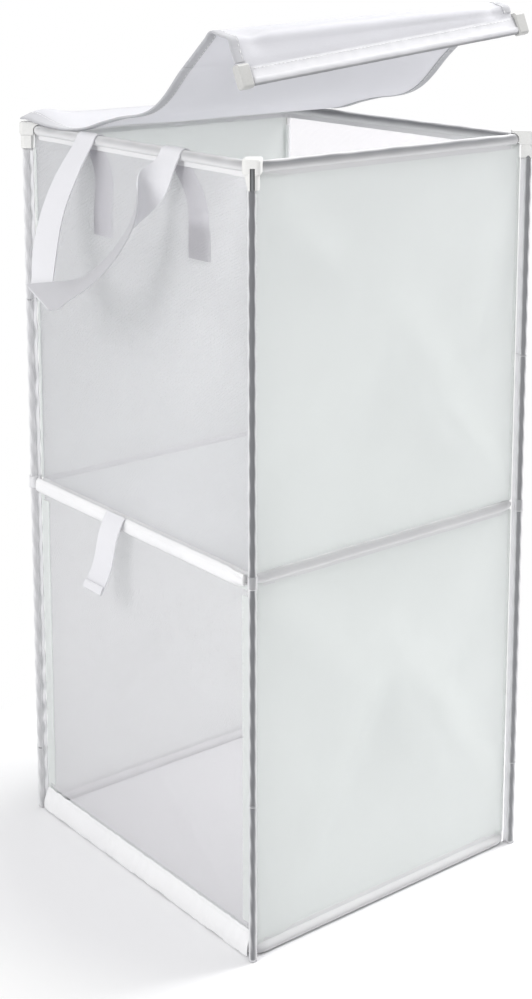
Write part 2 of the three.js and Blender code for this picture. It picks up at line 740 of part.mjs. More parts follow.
// The last fold only turns down, so it turns about the cloth's underside and needs no more than a seam.
const hem = foldedAt(brow, ...barLine, lidBarFoldDegrees, -lidBindingThickness / 2);
const gaps = [seamGap, ...[
  lidLowerCurlDegrees, lidUpperCurlDegrees, lidCrestFoldDegrees, lidBrowFoldDegrees,
].map(foldGap), seamGap];
add(rear, "lid_rear_panel", lidPanel(hingeLine, gaps[0], lowerLine, gaps[1]), lidCloth);
add(middle, "lid_middle_panel", lidPanel(lowerLine, gaps[1], upperLine, gaps[2]), lidCloth);
add(front, "lid_front_panel", lidPanel(upperLine, gaps[2], crestLine, gaps[3]), lidCloth);
add(crest, "lid_crest_panel", lidPanel(crestLine, gaps[3], browLine, gaps[4]), lidCloth);
add(brow, "lid_brow_panel", lidPanel(browLine, gaps[4], barLine, gaps[5]), lidCloth);

// The lid's hinge is a tape, sewn to it and wrapped down the outside of the back rail.
function hingeTape() {
  const inner = pipingRadius + seamGap;
  const outer = inner + hingeTapeThickness;
  const place = (radius, y) => [halfDepth + y, rimRailHeight + Math.sqrt(radius ** 2 - y ** 2)];
  const top = hingeHeight - lidClothThickness / 2 - seamGap;
  const lean = lidHingeBehindWall - hingeTapeThickness / 2;
  const foot = rimRailHeight - hingeTapeReach;
  const around = circle(outer, 3, rad(45), 0, false).map(([a, b]) => [halfDepth + a, rimRailHeight + b]);
  const back = circle(inner, 3, 0, rad(45), false).map(([a, b]) => [halfDepth + a, rimRailHeight + b]);
  const points = [
    [hingePlace + hingeTapeThickness / 2, top], ...around, [halfDepth + outer, foot],
    [halfDepth + inner, foot], ...back, place(inner, lean), [hingePlace - hingeTapeThickness / 2, top],
  ];
  return alongX(points, hingeTapeEndGap - halfWidth, halfWidth - hingeTapeEndGap);
}
add(model, "lid_hinge_tape", hingeTape(), bindingCloth);

// Front hem with the bar. In the hem's flat frame the bar runs along X.
const barPlace = -(lidFrontFold + barDrop);
const capInner = barSpan / 2 - capLength;
const barEnd = capInner + capOverlap;
function hemSleeve() {
  const outer = barDiameter / 2 + barPlay + barHemWall;
  const web = barHemWebThickness / 2;
  const bite = Math.asin(web / outer);
  const top = -(lidFrontFold + gaps[5]);
  const outline = new THREE.Shape();
  outline.moveTo(top, web);
  outline.absarc(barPlace, 0, outer, bite, 2 * Math.PI - bite, false);
  outline.lineTo(top, -web);
  outline.closePath();
  const hole = new THREE.Path();
  hole.absarc(barPlace, 0, barDiameter / 2 + barPlay, 0, 2 * Math.PI, true);
  outline.holes.push(hole);
  const length = 2 * capInner - 2 * seamGap;
  return new THREE.ExtrudeGeometry(outline, { depth: length, bevelEnabled: false, curveSegments: roundSides / 2 })
    .applyMatrix4(new THREE.Matrix4().makeBasis(
      new THREE.Vector3(0, 1, 0), new THREE.Vector3(0, 0, 1), new THREE.Vector3(1, 0, 0),
    ))
    .translate(barAside - length / 2, 0, 0);
}
function roundBar(radius, from, to) {
  return new THREE.CylinderGeometry(radius, radius, to - from, roundSides)
    .rotateZ(Math.PI / 2).translate((from + to) / 2, barPlace, 0);
}
function endCap(side) {
  const low = barPlace - capBelowBar;
  const high = low + capHeight;
  const half = capThickness / 2 - capBevel;
  const r = capCornerRadius - capBevel;
  const [y0, y1] = [low + capBevel, high - capBevel];
  const outline = new THREE.Shape();
  outline.moveTo(y0 + r, -half);
  outline.lineTo(y1 - r, -half);
  outline.absarc(y1 - r, r - half, r, -Math.PI / 2, 0, false);
  outline.lineTo(y1, half - r);
  outline.absarc(y1 - r, half - r, r, 0, Math.PI / 2, false);
  outline.lineTo(y0 + r, half);
  outline.absarc(y0 + r, half - r, r, Math.PI / 2, Math.PI, false);
  outline.lineTo(y0, r - half);
  outline.absarc(y0 + r, r - half, r, Math.PI, (3 * Math.PI) / 2, false);
  const body = new THREE.ExtrudeGeometry(outline, {
    depth: capLength - 2 * capBevel,
    bevelEnabled: true,
    bevelThickness: capBevel,
    bevelSize: capBevel,
    bevelSegments: 2,
    curveSegments: 3,
  }).applyMatrix4(new THREE.Matrix4().makeBasis(
    new THREE.Vector3(0, 1, 0), new THREE.Vector3(0, 0, 1), new THREE.Vector3(1, 0, 0),
  )).translate(barAside + (side > 0 ? capInner + capBevel : capBevel - barSpan / 2), 0, 0);
  const deep = capOverlap + barPlay;
  const inner = barAside + side * (capInner - cutOverrun);
  const blind = barAside + side * (capInner + deep);
  return cut(body, roundBar(barDiameter / 2 + barPlay, Math.min(inner, blind), Math.max(inner, blind)));
}
add(hem, "lid_hem_sleeve", hemSleeve(), lidCloth);
add(hem, "lid_bar", roundBar(barDiameter / 2, barAside - barEnd, barAside + barEnd), steel);
add(hem, "lid_bar_left_cap", endCap(-1), clipPlastic);
add(hem, "lid_bar_right_cap", endCap(1), clipPlastic);

export default model;
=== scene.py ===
# %% [markdown]
# A two-bin laundry hamper is cloth hung on steel: three wire rings in sewn piping, four posts in
# sewn sleeves, woven and net walls between them, a webbing handle, a drop door and a soft lid.
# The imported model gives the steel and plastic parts. Every cloth part is made here as a curved
# sheet, because a block never looks like cloth, however good its material is.

import math

import bpy
import numpy as np
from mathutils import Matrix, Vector


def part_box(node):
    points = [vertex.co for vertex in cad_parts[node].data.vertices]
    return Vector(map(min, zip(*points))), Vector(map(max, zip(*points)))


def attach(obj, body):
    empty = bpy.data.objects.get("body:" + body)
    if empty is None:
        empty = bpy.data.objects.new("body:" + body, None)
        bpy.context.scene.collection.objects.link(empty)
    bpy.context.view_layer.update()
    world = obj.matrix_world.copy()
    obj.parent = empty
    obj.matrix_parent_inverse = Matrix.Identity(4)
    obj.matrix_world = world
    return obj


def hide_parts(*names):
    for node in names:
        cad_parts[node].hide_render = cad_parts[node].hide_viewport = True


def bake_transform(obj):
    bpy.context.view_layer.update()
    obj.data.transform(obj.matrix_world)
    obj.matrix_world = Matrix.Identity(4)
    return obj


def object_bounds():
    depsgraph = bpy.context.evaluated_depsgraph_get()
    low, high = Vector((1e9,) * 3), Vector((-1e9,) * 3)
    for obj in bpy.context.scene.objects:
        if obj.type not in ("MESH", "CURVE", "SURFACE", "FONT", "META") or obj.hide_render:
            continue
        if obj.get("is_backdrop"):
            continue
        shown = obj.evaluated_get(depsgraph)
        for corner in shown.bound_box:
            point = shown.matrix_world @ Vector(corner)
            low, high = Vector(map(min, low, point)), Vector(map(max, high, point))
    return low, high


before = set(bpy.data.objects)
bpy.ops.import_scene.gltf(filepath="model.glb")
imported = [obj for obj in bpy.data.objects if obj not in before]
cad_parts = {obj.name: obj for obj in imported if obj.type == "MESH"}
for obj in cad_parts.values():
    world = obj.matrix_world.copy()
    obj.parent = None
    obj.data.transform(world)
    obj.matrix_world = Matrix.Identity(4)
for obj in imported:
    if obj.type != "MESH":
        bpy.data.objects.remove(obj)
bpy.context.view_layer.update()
bpy.ops.object.select_all(action="DESELECT")

# %% [markdown]
# The camera comes first. It stands high on the front left corner, 1.7 m off, and its lens is
# shifted down instead of tilted, which keeps the posts upright in the picture.

# %% Camera
def looking(azimuth, elevation):
    """The direction from what is looked at back to the camera."""
    a, e = math.radians(azimuth), math.radians(elevation)
    return Vector((math.sin(a) * math.cos(e), -math.cos(a) * math.cos(e), math.sin(e)))


def aim(thing, back):
    """Turns a camera or a lamp so that it looks against the direction back."""
    thing.rotation_mode = "QUATERNION"
    thing.rotation_quaternion = (-back).to_track_quat("-Z", "Y")


bpy.ops.object.camera_add(location=(-1.07703, -1.33799, 0.93835))
camera = bpy.context.object
aim(camera, looking(-38.638, 10.23))
camera.data.lens = 63.18
camera.data.sensor_width = 36
camera.data.shift_y = -0.26
bpy.context.scene.camera = camera
bpy.context.scene.view_settings.view_transform = "Standard"
print("lens", camera.data.lens, "mm")

# %% [markdown]
# Shader trees are long to write out, so one helper adds a node with its settings and its inputs.
# White cloth is easily burnt out: the world gives an even light, a broad lamp low at the left gives
# the shading, and one high at the right throws the floor shadow to the left. The white background
# is only what the camera sees of the world, so it adds no light to the cloth.

# %% World and lamps
def add(tree, kind, inputs=None, **settings):
    """Adds a shader node. An input is given a number or colour, or another node's output."""
    made = tree.nodes.new("ShaderNode" + kind)
    for name, value in settings.items():
        setattr(made, name, value)
    for name, value in (inputs or {}).items():
        if isinstance(value, bpy.types.NodeSocket):
            tree.links.new(value, made.inputs[name])
        else:
            made.inputs[name].default_value = value
    return made


world = bpy.data.worlds.new("studio")
bpy.context.scene.world = world
world.use_nodes = True
tree = world.node_tree
tree.nodes.clear()
rays = add(tree, "LightPath").outputs
seen = add(tree, "Math", {0: rays["Is Camera Ray"], 1: rays["Is Glossy Ray"]}, operation="MAXIMUM")
seen = add(tree, "Math", {0: seen.outputs[0], 1: rays["Is Transmission Ray"]}, operation="MAXIMUM")
even = add(tree, "Background", {"Color": (1.0, 0.997, 1.0, 1), "Strength": 0.72})
white = add(tree, "Background", {"Color": (1, 1, 1, 1), "Strength": 1.0})
choice = add(tree, "MixShader", {"Fac": seen.outputs[0], 1: even.outputs[0], 2: white.outputs[0]})
add(tree, "OutputWorld", {"Surface": choice.outputs[0]})

LAMP_AIM = Vector((0, 0, 0.4))  # the middle of the hamper


def lamp(name, azimuth, elevation, distance, size, power):
    """A square soft box that faces the middle of the hamper."""
    back = looking(azimuth, elevation)
    bpy.ops.object.light_add(type="AREA", location=LAMP_AIM + back * distance)
    box = bpy.context.object
    box.name = name
    aim(box, back)
    box.data.size = size
    box.data.energy = power


lamp("key", -80, 26, 2.6, 1.0, 29)
lamp("right", 78, 50, 2.4, 1.0, 62)
print("two lamps and an even world")

# %% [markdown]
# The floor is a pale sheet that keeps the soft shadow under the hamper. Further out it turns into
# plain white, so that it ends nowhere.

# %% Floor
FADE_FROM, FADE_TO = 0.25, 0.43  # metres from the middle of the hamper

bpy.ops.mesh.primitive_plane_add(size=9, location=(0, 0, 0))
floor = bpy.context.object
floor.name = "studio_floor"
floor.data.transform(floor.matrix_world)
floor.matrix_world.identity()
pale = bpy.data.materials.new("floor_paper")
pale.use_nodes = True
tree = pale.node_tree
tree.nodes.clear()
place = add(tree, "TexCoord").outputs["Object"]
far = add(tree, "VectorMath", {0: place}, operation="LENGTH")
span = {"From Min": FADE_FROM, "From Max": FADE_TO, "Value": far.outputs["Value"]}
fade = add(tree, "MapRange", span, interpolation_type="SMOOTHSTEP")
rays = add(tree, "LightPath").outputs
only_seen = add(tree, "Math", {0: fade.outputs["Result"], 1: rays["Is Camera Ray"]}, operation="MULTIPLY")
paper = add(tree, "BsdfDiffuse", {"Color": (0.85, 0.85, 0.86, 1)})
glow = add(tree, "Emission", {"Strength": 1.0})
choice = add(tree, "MixShader", {"Fac": only_seen.outputs[0], 1: paper.outputs[0], 2: glow.outputs[0]})
add(tree, "OutputMaterial", {"Surface": choice.outputs[0]})
floor.data.materials.append(pale)
floor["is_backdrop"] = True

# %% [markdown]
# Cloth finishes share three parts: a colour with faint uneven patches, a weave in the bump, and
# some light that comes through. The weave reads the piece's UV map, which is in metres, so its
# threads keep one size on every piece and follow it round each bend.

# %% Cloth materials
WAVES_PER_METRE = 0.314  # a wave texture's scale for a pitch of 1 m


def linear(hex_colour):
    """A written colour as the numbers that a shader takes."""
    parts = [int(hex_colour[i : i + 2], 16) / 255 for i in (0, 2, 4)]
    return [c / 12.92 if c <= 0.04045 else ((c + 0.055) / 1.055) ** 2.4 for c in parts] + [1]


def blank(name):
    """A new material with its node tree and its main shader."""
    made = bpy.data.materials.new(name)
    made.use_nodes = True
    return made, made.node_tree, made.node_tree.nodes["Principled BSDF"]


def bumped(tree, shader, height, strength, distance):
    relief = add(tree, "Bump", {"Strength": strength, "Distance": distance, "Height": height})
    tree.links.new(relief.outputs["Normal"], shader.inputs["Normal"])


def toned(tree, colour, darker, share):
    """A colour that goes over into a darker one."""
    return add(tree, "Mix", {"A": colour, "B": darker, "Factor": share}, data_type="RGBA").outputs["Result"]


def cloth_material(name, colour, darker, thread, ribs=(1.0, 1.0), through=0.3, rough=0.85, bump=0.25,
                   steel=None, core=(0.3, 0.7)):
    """Woven cloth. thread is the pitch of its threads in metres, ribs how strong they run along each
    direction, and through the share of light that passes. steel is a grey laid on by a point
    attribute: where a rod lies close under the cloth, and also as painted shade. core says how far
    from the middle, as it is seen, this colour fades out."""
    made, t, shader = blank(name)
    shader.inputs["Roughness"].default_value = rough
    shader.inputs["Sheen Weight"].default_value = 0.15
    shader.inputs["Sheen Roughness"].default_value = 0.5
    shader.inputs["Specular IOR Level"].default_value = 0.25
    uv = add(t, "UVMap", uv_map="cloth").outputs["UV"]
    where = add(t, "TexCoord").outputs["Object"]
    patches = add(t, "TexNoise", {"Scale": 9, "Detail": 3, "Vector": where})
    colours = toned(t, linear(colour), linear(darker), patches.outputs["Fac"])
    # The grey laid on here is a rod seen under the cloth, and painted shade.
    if steel:
        under = add(t, "Attribute", attribute_name="steel_and_shade")
        turned = add(t, "LayerWeight", {"Blend": 0.5})
        span = {"From Min": core[0], "From Max": core[1], "To Min": 1, "To Max": 0}
        span["Value"] = turned.outputs["Facing"]
        middle = add(t, "MapRange", span, interpolation_type="SMOOTHSTEP").outputs["Result"]
        dark = add(t, "Math", {0: under.outputs["Fac"], 1: middle}, operation="MULTIPLY")
        colours = toned(t, colours, linear(steel), dark.outputs[0])
    waves = []
    for direction, strength in zip("XY", ribs):
        shape = {"Scale": WAVES_PER_METRE / thread, "Distortion": 0.4, "Detail": 1, "Detail Scale": 1.5}
        shape["Vector"] = uv
        wave = add(t, "TexWave", shape, wave_type="BANDS", bands_direction=direction).outputs["Fac"]
        waves.append(add(t, "Math", {0: wave, 1: strength}, operation="MULTIPLY").outputs[0])
    weave = add(t, "Math", {0: waves[0], 1: waves[1]}, operation="ADD")
    bumped(t, shader, weave.outputs[0], bump, thread / 4)
    t.links.new(colours, shader.inputs["Base Color"])
    surface = shader.outputs["BSDF"]
    if through:
        glow = add(t, "BsdfTranslucent", {"Color": colours})
        surface = add(t, "MixShader", {"Fac": through, 1: surface, 2: glow.outputs[0]}).outputs[0]
    t.links.new(surface, t.nodes["Material Output"].inputs["Surface"])
    return made


woven = cloth_material("woven_wall_cloth", "f4f6f5", "eff1f0", 0.0009, through=0.6)
# The hem cloth's grey is painted shade on its underside, below the bar.
hem_weave = cloth_material("lid_hem_cloth", "e8e8eb", "e1e1e4", 0.0009, through=0.2,
                           steel="707174", core=(1.0, 1.1))
lid_weave = cloth_material("lid_cloth", "e8e8eb", "e1e1e4", 0.0009, through=0.45)
tape = cloth_material("band_tape", "fafafa", "f1f1f3", 0.0012, ribs=(0.3, 1.0), through=0.2, rough=0.7)
# The piping's grey is the wire under the cloth and painted shade.
piping = cloth_material("piping_cloth", "f0f0f0", "e2e2e4", 0.0009, through=0.2, steel="828386")
# The sleeve's grey is the post under the cloth and painted shade.
sleeving = cloth_material("sleeve_cloth", "f0f0f1", "e0e0e3", 0.0009, through=0.2,
                          steel="7c7d80", core=(0.10, 0.48))
binding = cloth_material("binding_tape", "c4c4c8", "b8b9bc", 0.001, ribs=(0.3, 1.0), through=0.1)
# The strap's grey is painted shade: the loop's lower face, the crease, the inner front leg and the front
# patch.
webbing = cloth_material("handle_webbing", "e9e9ec", "dfdfe3", 0.0016, ribs=(1.0, 0.5), through=0.12,
                         bump=0.4, steel="a9a9ad", core=(1.0, 1.1))
thread = cloth_material("sewing_thread", "f7f7f7", "e9e9e9", 0.0004, through=0, rough=0.6)
print("nine cloth finishes")

# %% [markdown]
# The net of the mesh sides is far finer than a picture dot, so it reads as a sheer grey veil. It is
# still drawn as a net: rounded holes in a staggered pattern, with the yarn between them, and the
# holes are a Transparent shader. Up close the holes show, and from afar they average out.

# %% Net material
def net_material(name, colour, pitch, open_share):
    made, t, shader = blank(name)
    shader.inputs["Base Color"].default_value = linear(colour)
    shader.inputs["Roughness"].default_value = 0.75
    shader.inputs["Sheen Weight"].default_value = 0.2
    shader.inputs["Specular IOR Level"].default_value = 0.3
    uv = add(t, "UVMap", uv_map="cloth").outputs["UV"]
    pattern = {"Scale": 1 / pitch, "Randomness": 0.12, "Vector": uv}
    holes = add(t, "TexVoronoi", pattern, voronoi_dimensions="2D")
    span = {"From Min": open_share - 0.06, "From Max": open_share + 0.06}
    edge = add(t, "MapRange", {"Value": holes.outputs["Distance"]} | span).outputs["Result"]
    bumped(t, shader, edge, 0.3, pitch / 5)
    glow = add(t, "BsdfTranslucent", {"Color": linear(colour)})
    yarn = add(t, "MixShader", {"Fac": 0.5, 1: shader.outputs["BSDF"], 2: glow.outputs[0]})
    clear = add(t, "BsdfTransparent")
    mixed = add(t, "MixShader", {"Fac": edge, 1: clear.outputs[0], 2: yarn.outputs[0]})
    t.links.new(mixed.outputs[0], t.nodes["Material Output"].inputs["Surface"])
    return made


NET_PITCH = 0.0013
net = net_material("mesh_net", "e8e6e9", NET_PITCH, 0.44)
# A darker copy of the same net for the upper left side: painted shade over the upper bin.
shaded_upper_net = net_material("shaded_upper_mesh_net", "dbdadd", NET_PITCH, 0.42)
print("two net finishes")

# %% [markdown]
# The rods are plain drawn steel wire, and the corner clips and bar caps are moulded in an off-white
# plastic with a fine spark-eroded grain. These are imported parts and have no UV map, so their
# materials read Object coordinates.

# %% Steel, plastic and board materials
def hard_material(name, colour, darker, scale, rough, metal=0.0, bump=0.15, stretch=(1, 1, 1)):
    made, t, shader = blank(name)
    shader.inputs["Metallic"].default_value = metal
    where = add(t, "TexCoord").outputs["Object"]
    sized = add(t, "Mapping", {"Scale": stretch, "Vector": where})
    grain = add(t, "TexNoise", {"Scale": scale, "Detail": 4, "Vector": sized.outputs[0]}).outputs["Fac"]
    t.links.new(toned(t, linear(colour), linear(darker), grain), shader.inputs["Base Color"])
    gloss = add(t, "MapRange", {"To Min": rough - 0.08, "To Max": rough + 0.08, "Value": grain})
    t.links.new(gloss.outputs["Result"], shader.inputs["Roughness"])
    bumped(t, shader, grain, bump, 0.0003)
    return made


steel = hard_material("drawn_steel", "8f9193", "77797b", 260, 0.38, metal=0.9, stretch=(1, 1, 0.15))
plastic = hard_material("clip_plastic", "dcdcda", "cfcfcd", 700, 0.46)
cap_plastic = hard_material("cap_plastic", "bdbdbb", "b0b0ae", 700, 0.5)
board_cloth = hard_material("board_cover", "e6e6e8", "dcdcde", 900, 0.85, bump=0.3)
pile = hard_material("fastener_pile", "efefef", "dedede", 2200, 0.95, bump=0.9)

# %% [markdown]
# The imported steel, plastic and board keep their shapes. The plastic parts' edges are softened by
# live modifiers: Weld joins the loose triangles, and Bevel rounds the edges that are sharp.

# %% Finish the imported parts
PLASTIC_BEVEL = 0.0012


def soften(part, width):
    weld = part.modifiers.new("weld", "WELD")
    weld.merge_threshold = 0.00002
    bevel = part.modifiers.new("bevel", "BEVEL")
    bevel.width = width
    bevel.segments = 2
    bevel.limit_method = "ANGLE"
    bevel.angle_limit = math.radians(38)
    bevel.harden_normals = False


corners = ("front_left", "front_right", "back_right", "back_left")
for name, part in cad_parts.items():
    kind = None
    if name.endswith(("_rod", "_post")) or name == "lid_bar":
        kind = steel
    elif name.endswith(("_clip", "_cap")):
        kind = cap_plastic if name.endswith("_cap") else plastic
        soften(part, PLASTIC_BEVEL)
    elif name == "base_board":
        kind = board_cloth
    if kind:
        part.data.materials.clear()
        part.data.materials.append(kind)
print("packed parts finished")

# %% [markdown]
# One helper makes every sheet and sleeve. It lays a grid primitive over rows of points, gives it a
# UV map in metres, closes it where a tube closes, and lets Solidify add the cloth's thickness. The
# points come from plain formulas, so a fold or pucker stays where the photograph shows it.

# %% Cloth from rows of points
def lengths(points):
    """Distances along a line of points, from its start."""
    steps = np.linalg.norm(np.diff(points, axis=0), axis=1)
    return np.concatenate([[0], np.cumsum(steps)])


def sew(name, rows, material, thickness=0.0, loop=(False, False), steel_and_shade=None, angle=45):
    """rows is rows x points x 3 in metres. loop closes it from the last row to the first, and from
    each row's last point to its first. The steel and shade weights are rows x points of 0 to 1: a
    rod's grey under the cloth, and painted shade."""
    rows = np.asarray(rows, float)
    under = np.zeros(rows.shape[:2]) if steel_and_shade is None else np.asarray(steel_and_shade, float)
    if loop[0]:
        rows, under = np.concatenate([rows, rows[:1]]), np.concatenate([under, under[:1]])
    if loop[1]:
        rows = np.concatenate([rows, rows[:, :1]], axis=1)
        under = np.concatenate([under, under[:, :1]], axis=1)
    n, m = rows.shape[:2]
    bpy.ops.object.select_all(action="DESELECT")
    bpy.ops.mesh.primitive_grid_add(x_subdivisions=m - 1, y_subdivisions=n - 1, size=2)
    piece = bpy.context.object
    piece.name = name
    mesh = piece.data
    mesh.name = name
    flat = np.empty(len(mesh.vertices) * 3)
    mesh.vertices.foreach_get("co", flat)
    flat = flat.reshape(-1, 3)
    column = np.rint((flat[:, 0] + 1) / 2 * (m - 1)).astype(int)
    row = np.rint((flat[:, 1] + 1) / 2 * (n - 1)).astype(int)
    mesh.vertices.foreach_set("co", rows[row, column].ravel())
    across, along = lengths(rows[n // 2]), lengths(rows[:, m // 2])
    corner = np.empty(len(mesh.loops), int)
    mesh.loops.foreach_get("vertex_index", corner)
    uv = mesh.uv_layers[0]
    uv.name = "cloth"
    uv.data.foreach_set("uv", np.stack([across[column[corner]], along[row[corner]]], 1).ravel())
    if steel_and_shade is not None:
        shade = mesh.attributes.new("steel_and_shade", "FLOAT", "POINT")
        shade.data.foreach_set("value", under[row, column].astype(np.float32))
    mesh.materials.append(material)
    mesh.update()
    bpy.ops.object.mode_set(mode="EDIT")
    bpy.ops.mesh.select_all(action="SELECT")
    if any(loop):
        bpy.ops.mesh.remove_doubles(threshold=1e-6)
    bpy.ops.mesh.normals_make_consistent(inside=False)
    bpy.ops.object.mode_set(mode="OBJECT")
    if thickness:
        solid = piece.modifiers.new("thickness", "SOLIDIFY")
        solid.thickness = thickness
        solid.offset = 0
        bpy.ops.object.modifier_apply(modifier="thickness")
    bpy.ops.object.shade_smooth_by_angle(angle=math.radians(angle))
    return piece


def close_ends(piece):
    """Fills the open ends of a sleeve, so that it is one closed shape."""
    bpy.ops.object.select_all(action="DESELECT")
    piece.select_set(True)
    bpy.context.view_layer.objects.active = piece
    bpy.ops.object.mode_set(mode="EDIT")
    bpy.ops.mesh.select_all(action="DESELECT")
    bpy.ops.mesh.select_non_manifold()
    bpy.ops.mesh.edge_face_add()
    bpy.ops.mesh.select_all(action="SELECT")
    bpy.ops.mesh.normals_make_consistent(inside=False)
    bpy.ops.object.mode_set(mode="OBJECT")


def smooth(low, high, x):
    t = np.clip((np.asarray(x, float) - low) / (high - low), 0, 1)
    return t * t * (3 - 2 * t)


def ripple(a, b, seed, waves=5):
    """An uneven swell between -1 and 1, the same each time: a few slow waves that cross."""
    total = 0.0
    for i in range(waves):
        turn = seed * 1.7 + i * 2.399
        along, across = a * (1 + 0.7 * i) * math.cos(turn), b * (1 + 0.6 * i) * math.sin(turn)
        total = total + np.sin(along + across + 5.1 * seed + i)
    return total / waves


def track(x, y, z):
    """Points with these coordinates. A single number holds for all of them."""
    return np.stack(np.broadcast_arrays(x, y, z), -1)


def stand_for(nodes):
    if nodes:
        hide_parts(*nodes)


def mount(piece, body, slot, *nodes):
    """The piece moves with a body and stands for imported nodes."""
    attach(piece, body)
    stand_for(nodes)


def bend(piece, near, far, ends, slot, *nodes):
    """Bakes the piece's place into its mesh and hides the imported nodes that it stands for. The bodies and
    the two points are not used.
    """
    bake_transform(piece)
    stand_for(nodes)


# %% [markdown]
# Every seam shows a line of thread. One stitch is a small six-sided bead, and a seam is many copies
# of it along a line, joined in one mesh, because hundreds of single objects would be slow.

# %% Stitches
bpy.ops.mesh.primitive_uv_sphere_add(segments=6, ring_count=4, radius=0.5)
bead = bpy.context.object
bead_points = np.array([v.co for v in bead.data.vertices])
bead_faces = [list(p.vertices) for p in bead.data.polygons]
bpy.data.objects.remove(bead)


def stitches(name, lines, body=None, slot=None, pitch=0.0042, long=0.003, thick=0.0006):
    """A seam of beads along each line of points. It is mounted only if a body is given."""
    places, along = [], []
    for line in lines:
        line = np.asarray(line, float)
        at = lengths(line)
        for d in np.arange(pitch / 2, at[-1], pitch):
            i = min(np.searchsorted(at, d, side="right") - 1, len(line) - 2)
            share = (d - at[i]) / max(at[i + 1] - at[i], 1e-9)
            places.append(line[i] + (line[i + 1] - line[i]) * share)
            along.append((line[i + 1] - line[i]) / max(at[i + 1] - at[i], 1e-9))
    places, along = np.array(places), np.array(along)
    side = np.cross(along, np.where(np.abs(along[:, 2:3]) > 0.9, [[1.0, 0, 0]], [[0, 0, 1.0]]))
    side /= np.linalg.norm(side, axis=1, keepdims=True)
    up = np.cross(side, along)
    points = (
        places[:, None]
        + bead_points[None, :, 2:3] * long * along[:, None]
        + bead_points[None, :, 0:1] * thick * side[:, None]
        + bead_points[None, :, 1:2] * thick * up[:, None]
    )
    count = len(bead_points)
    faces = [[v + k * count for v in f] for k in range(len(places)) for f in bead_faces]
    mesh = bpy.data.meshes.new(name)
    mesh.from_pydata(points.reshape(-1, 3).tolist(), [], faces)
    mesh.uv_layers.new(name="cloth")
    mesh.materials.append(thread)
    seam = bpy.data.objects.new(name, mesh)
    bpy.context.scene.collection.objects.link(seam)
    for p in mesh.polygons:
        p.use_smooth = True
    if body:
        mount(seam, body, slot)
    return seam


# %% [markdown]
# Each ring of steel wire runs through piping: a strip of cloth folded over the wire and sewn to
# itself, so it is a teardrop in section. The wire pulls up against the fold, and its grey shows
# through there. Below it the cloth is double, empty and white. How dark that grey is drawn differs
# from side to side as painted shade, and the left side is kept white as painted light.

# %% The line of a rail
HALF_X, HALF_Y, CORNER = 0.164, 0.178, 0.012
RIM, MIDDLE, BASE = 0.7345, 0.366, 0.0055


def rail_line(count, inset=0.0):
    """Places round a rail and the directions that point out of it."""
    x, y, r = HALF_X - CORNER, HALF_Y - CORNER, CORNER - inset
    fine = [(HALF_X - inset, -y, 0.0)]
    for k, (cx, cy) in enumerate([(x, y), (-x, y), (-x, -y), (x, -y)]):
        for i in range(13):
            a = (k + i / 12) * math.pi / 2
            fine.append((cx + r * math.cos(a), cy + r * math.sin(a), a))
    fine.append((HALF_X - inset, -y, 2 * math.pi))
    fine = np.array(fine)
    at = lengths(fine[:, :2])
    d = np.linspace(0, at[-1], count, endpoint=False)
    angle = np.interp(d, at, fine[:, 2])
    place = np.stack([np.interp(d, at, fine[:, 0]), np.interp(d, at, fine[:, 1])], 1)
    return place, np.stack([np.cos(angle), np.sin(angle)], 1), d


# %% Piping of the three rails
PIPE_RADIUS, PIPE_HALF_CLOTH, PIPE_WRINKLE = 0.0051, 0.0006, 0.0006
RAIL_CORNERS = (0.34, 0.66, 1.01, 1.33)  # metres along a rail
# How strongly each rail's grey is drawn on each side: painted shade, and painted light on the lit left.
STEEL_AND_SHADE_BY_SIDE = {  # front, left, right, back
    "rim": (1.0, 0.6, 0.95, 0.6),
    "middle": (0.45, 0.0, 0.6, 0.2),
    "base": (0.4, 0.5, 0.5, 0.6),
}


def teardrop(lap, mouth):
    """The piping's section: a circle, and a lap of sewn cloth in the direction of its mouth."""
    radius, half = PIPE_RADIUS, PIPE_HALF_CLOTH
    bite = math.asin(half / radius)
    around = [mouth + bite + (2 * math.pi - 2 * bite) * i / 15 for i in range(16)]
    circle = [(radius * math.cos(a), radius * math.sin(a)) for a in around]
    ux, uy = math.cos(mouth), math.sin(mouth)
    sides = []
    for reach, side in ((lap / 2, -1), (lap, -1), (lap, 1), (lap / 2, 1)):
        sides.append(((radius + reach) * ux + side * half * -uy, (radius + reach) * uy + side * half * ux))
    return np.array(circle + sides)


def rail_sweep(outline, height, seed, count=300):
    """outline is points x 2, out and up from the rail's middle. The cloth gathers here and there, most
    of all near the corners."""
    place, out, d = rail_line(count)
    near = 1 + 1.5 * sum(np.exp(-(((d - c) / 0.025) ** 2)) for c in RAIL_CORNERS)
    rows = np.empty((count, len(outline), 3))
    for j, (a, b) in enumerate(outline):
        move = PIPE_WRINKLE * ripple(d * 70, np.full_like(d, j * 0.55), seed) * near
        rows[:, j, :2] = place + out * (a + move * 0.5)[:, None]
        rows[:, j, 2] = height + b + move * 0.6
    return rows


def steel_and_shade_by_side(name, place):
    """How strongly the wire's grey under the cloth is drawn on each side, which is painted shade and
    light: the left side, lit by the lamp at the left, is the whitest."""
    left, right = smooth(-0.150, -0.163, place[:, 0]), smooth(0.150, 0.163, place[:, 0])
    back = smooth(0.163, 0.177, place[:, 1]) * (1 - left) * (1 - right)
    front, *others = STEEL_AND_SHADE_BY_SIDE[name]
    return front - sum((front - worth) * side for worth, side in zip(others, (left, right, back)))


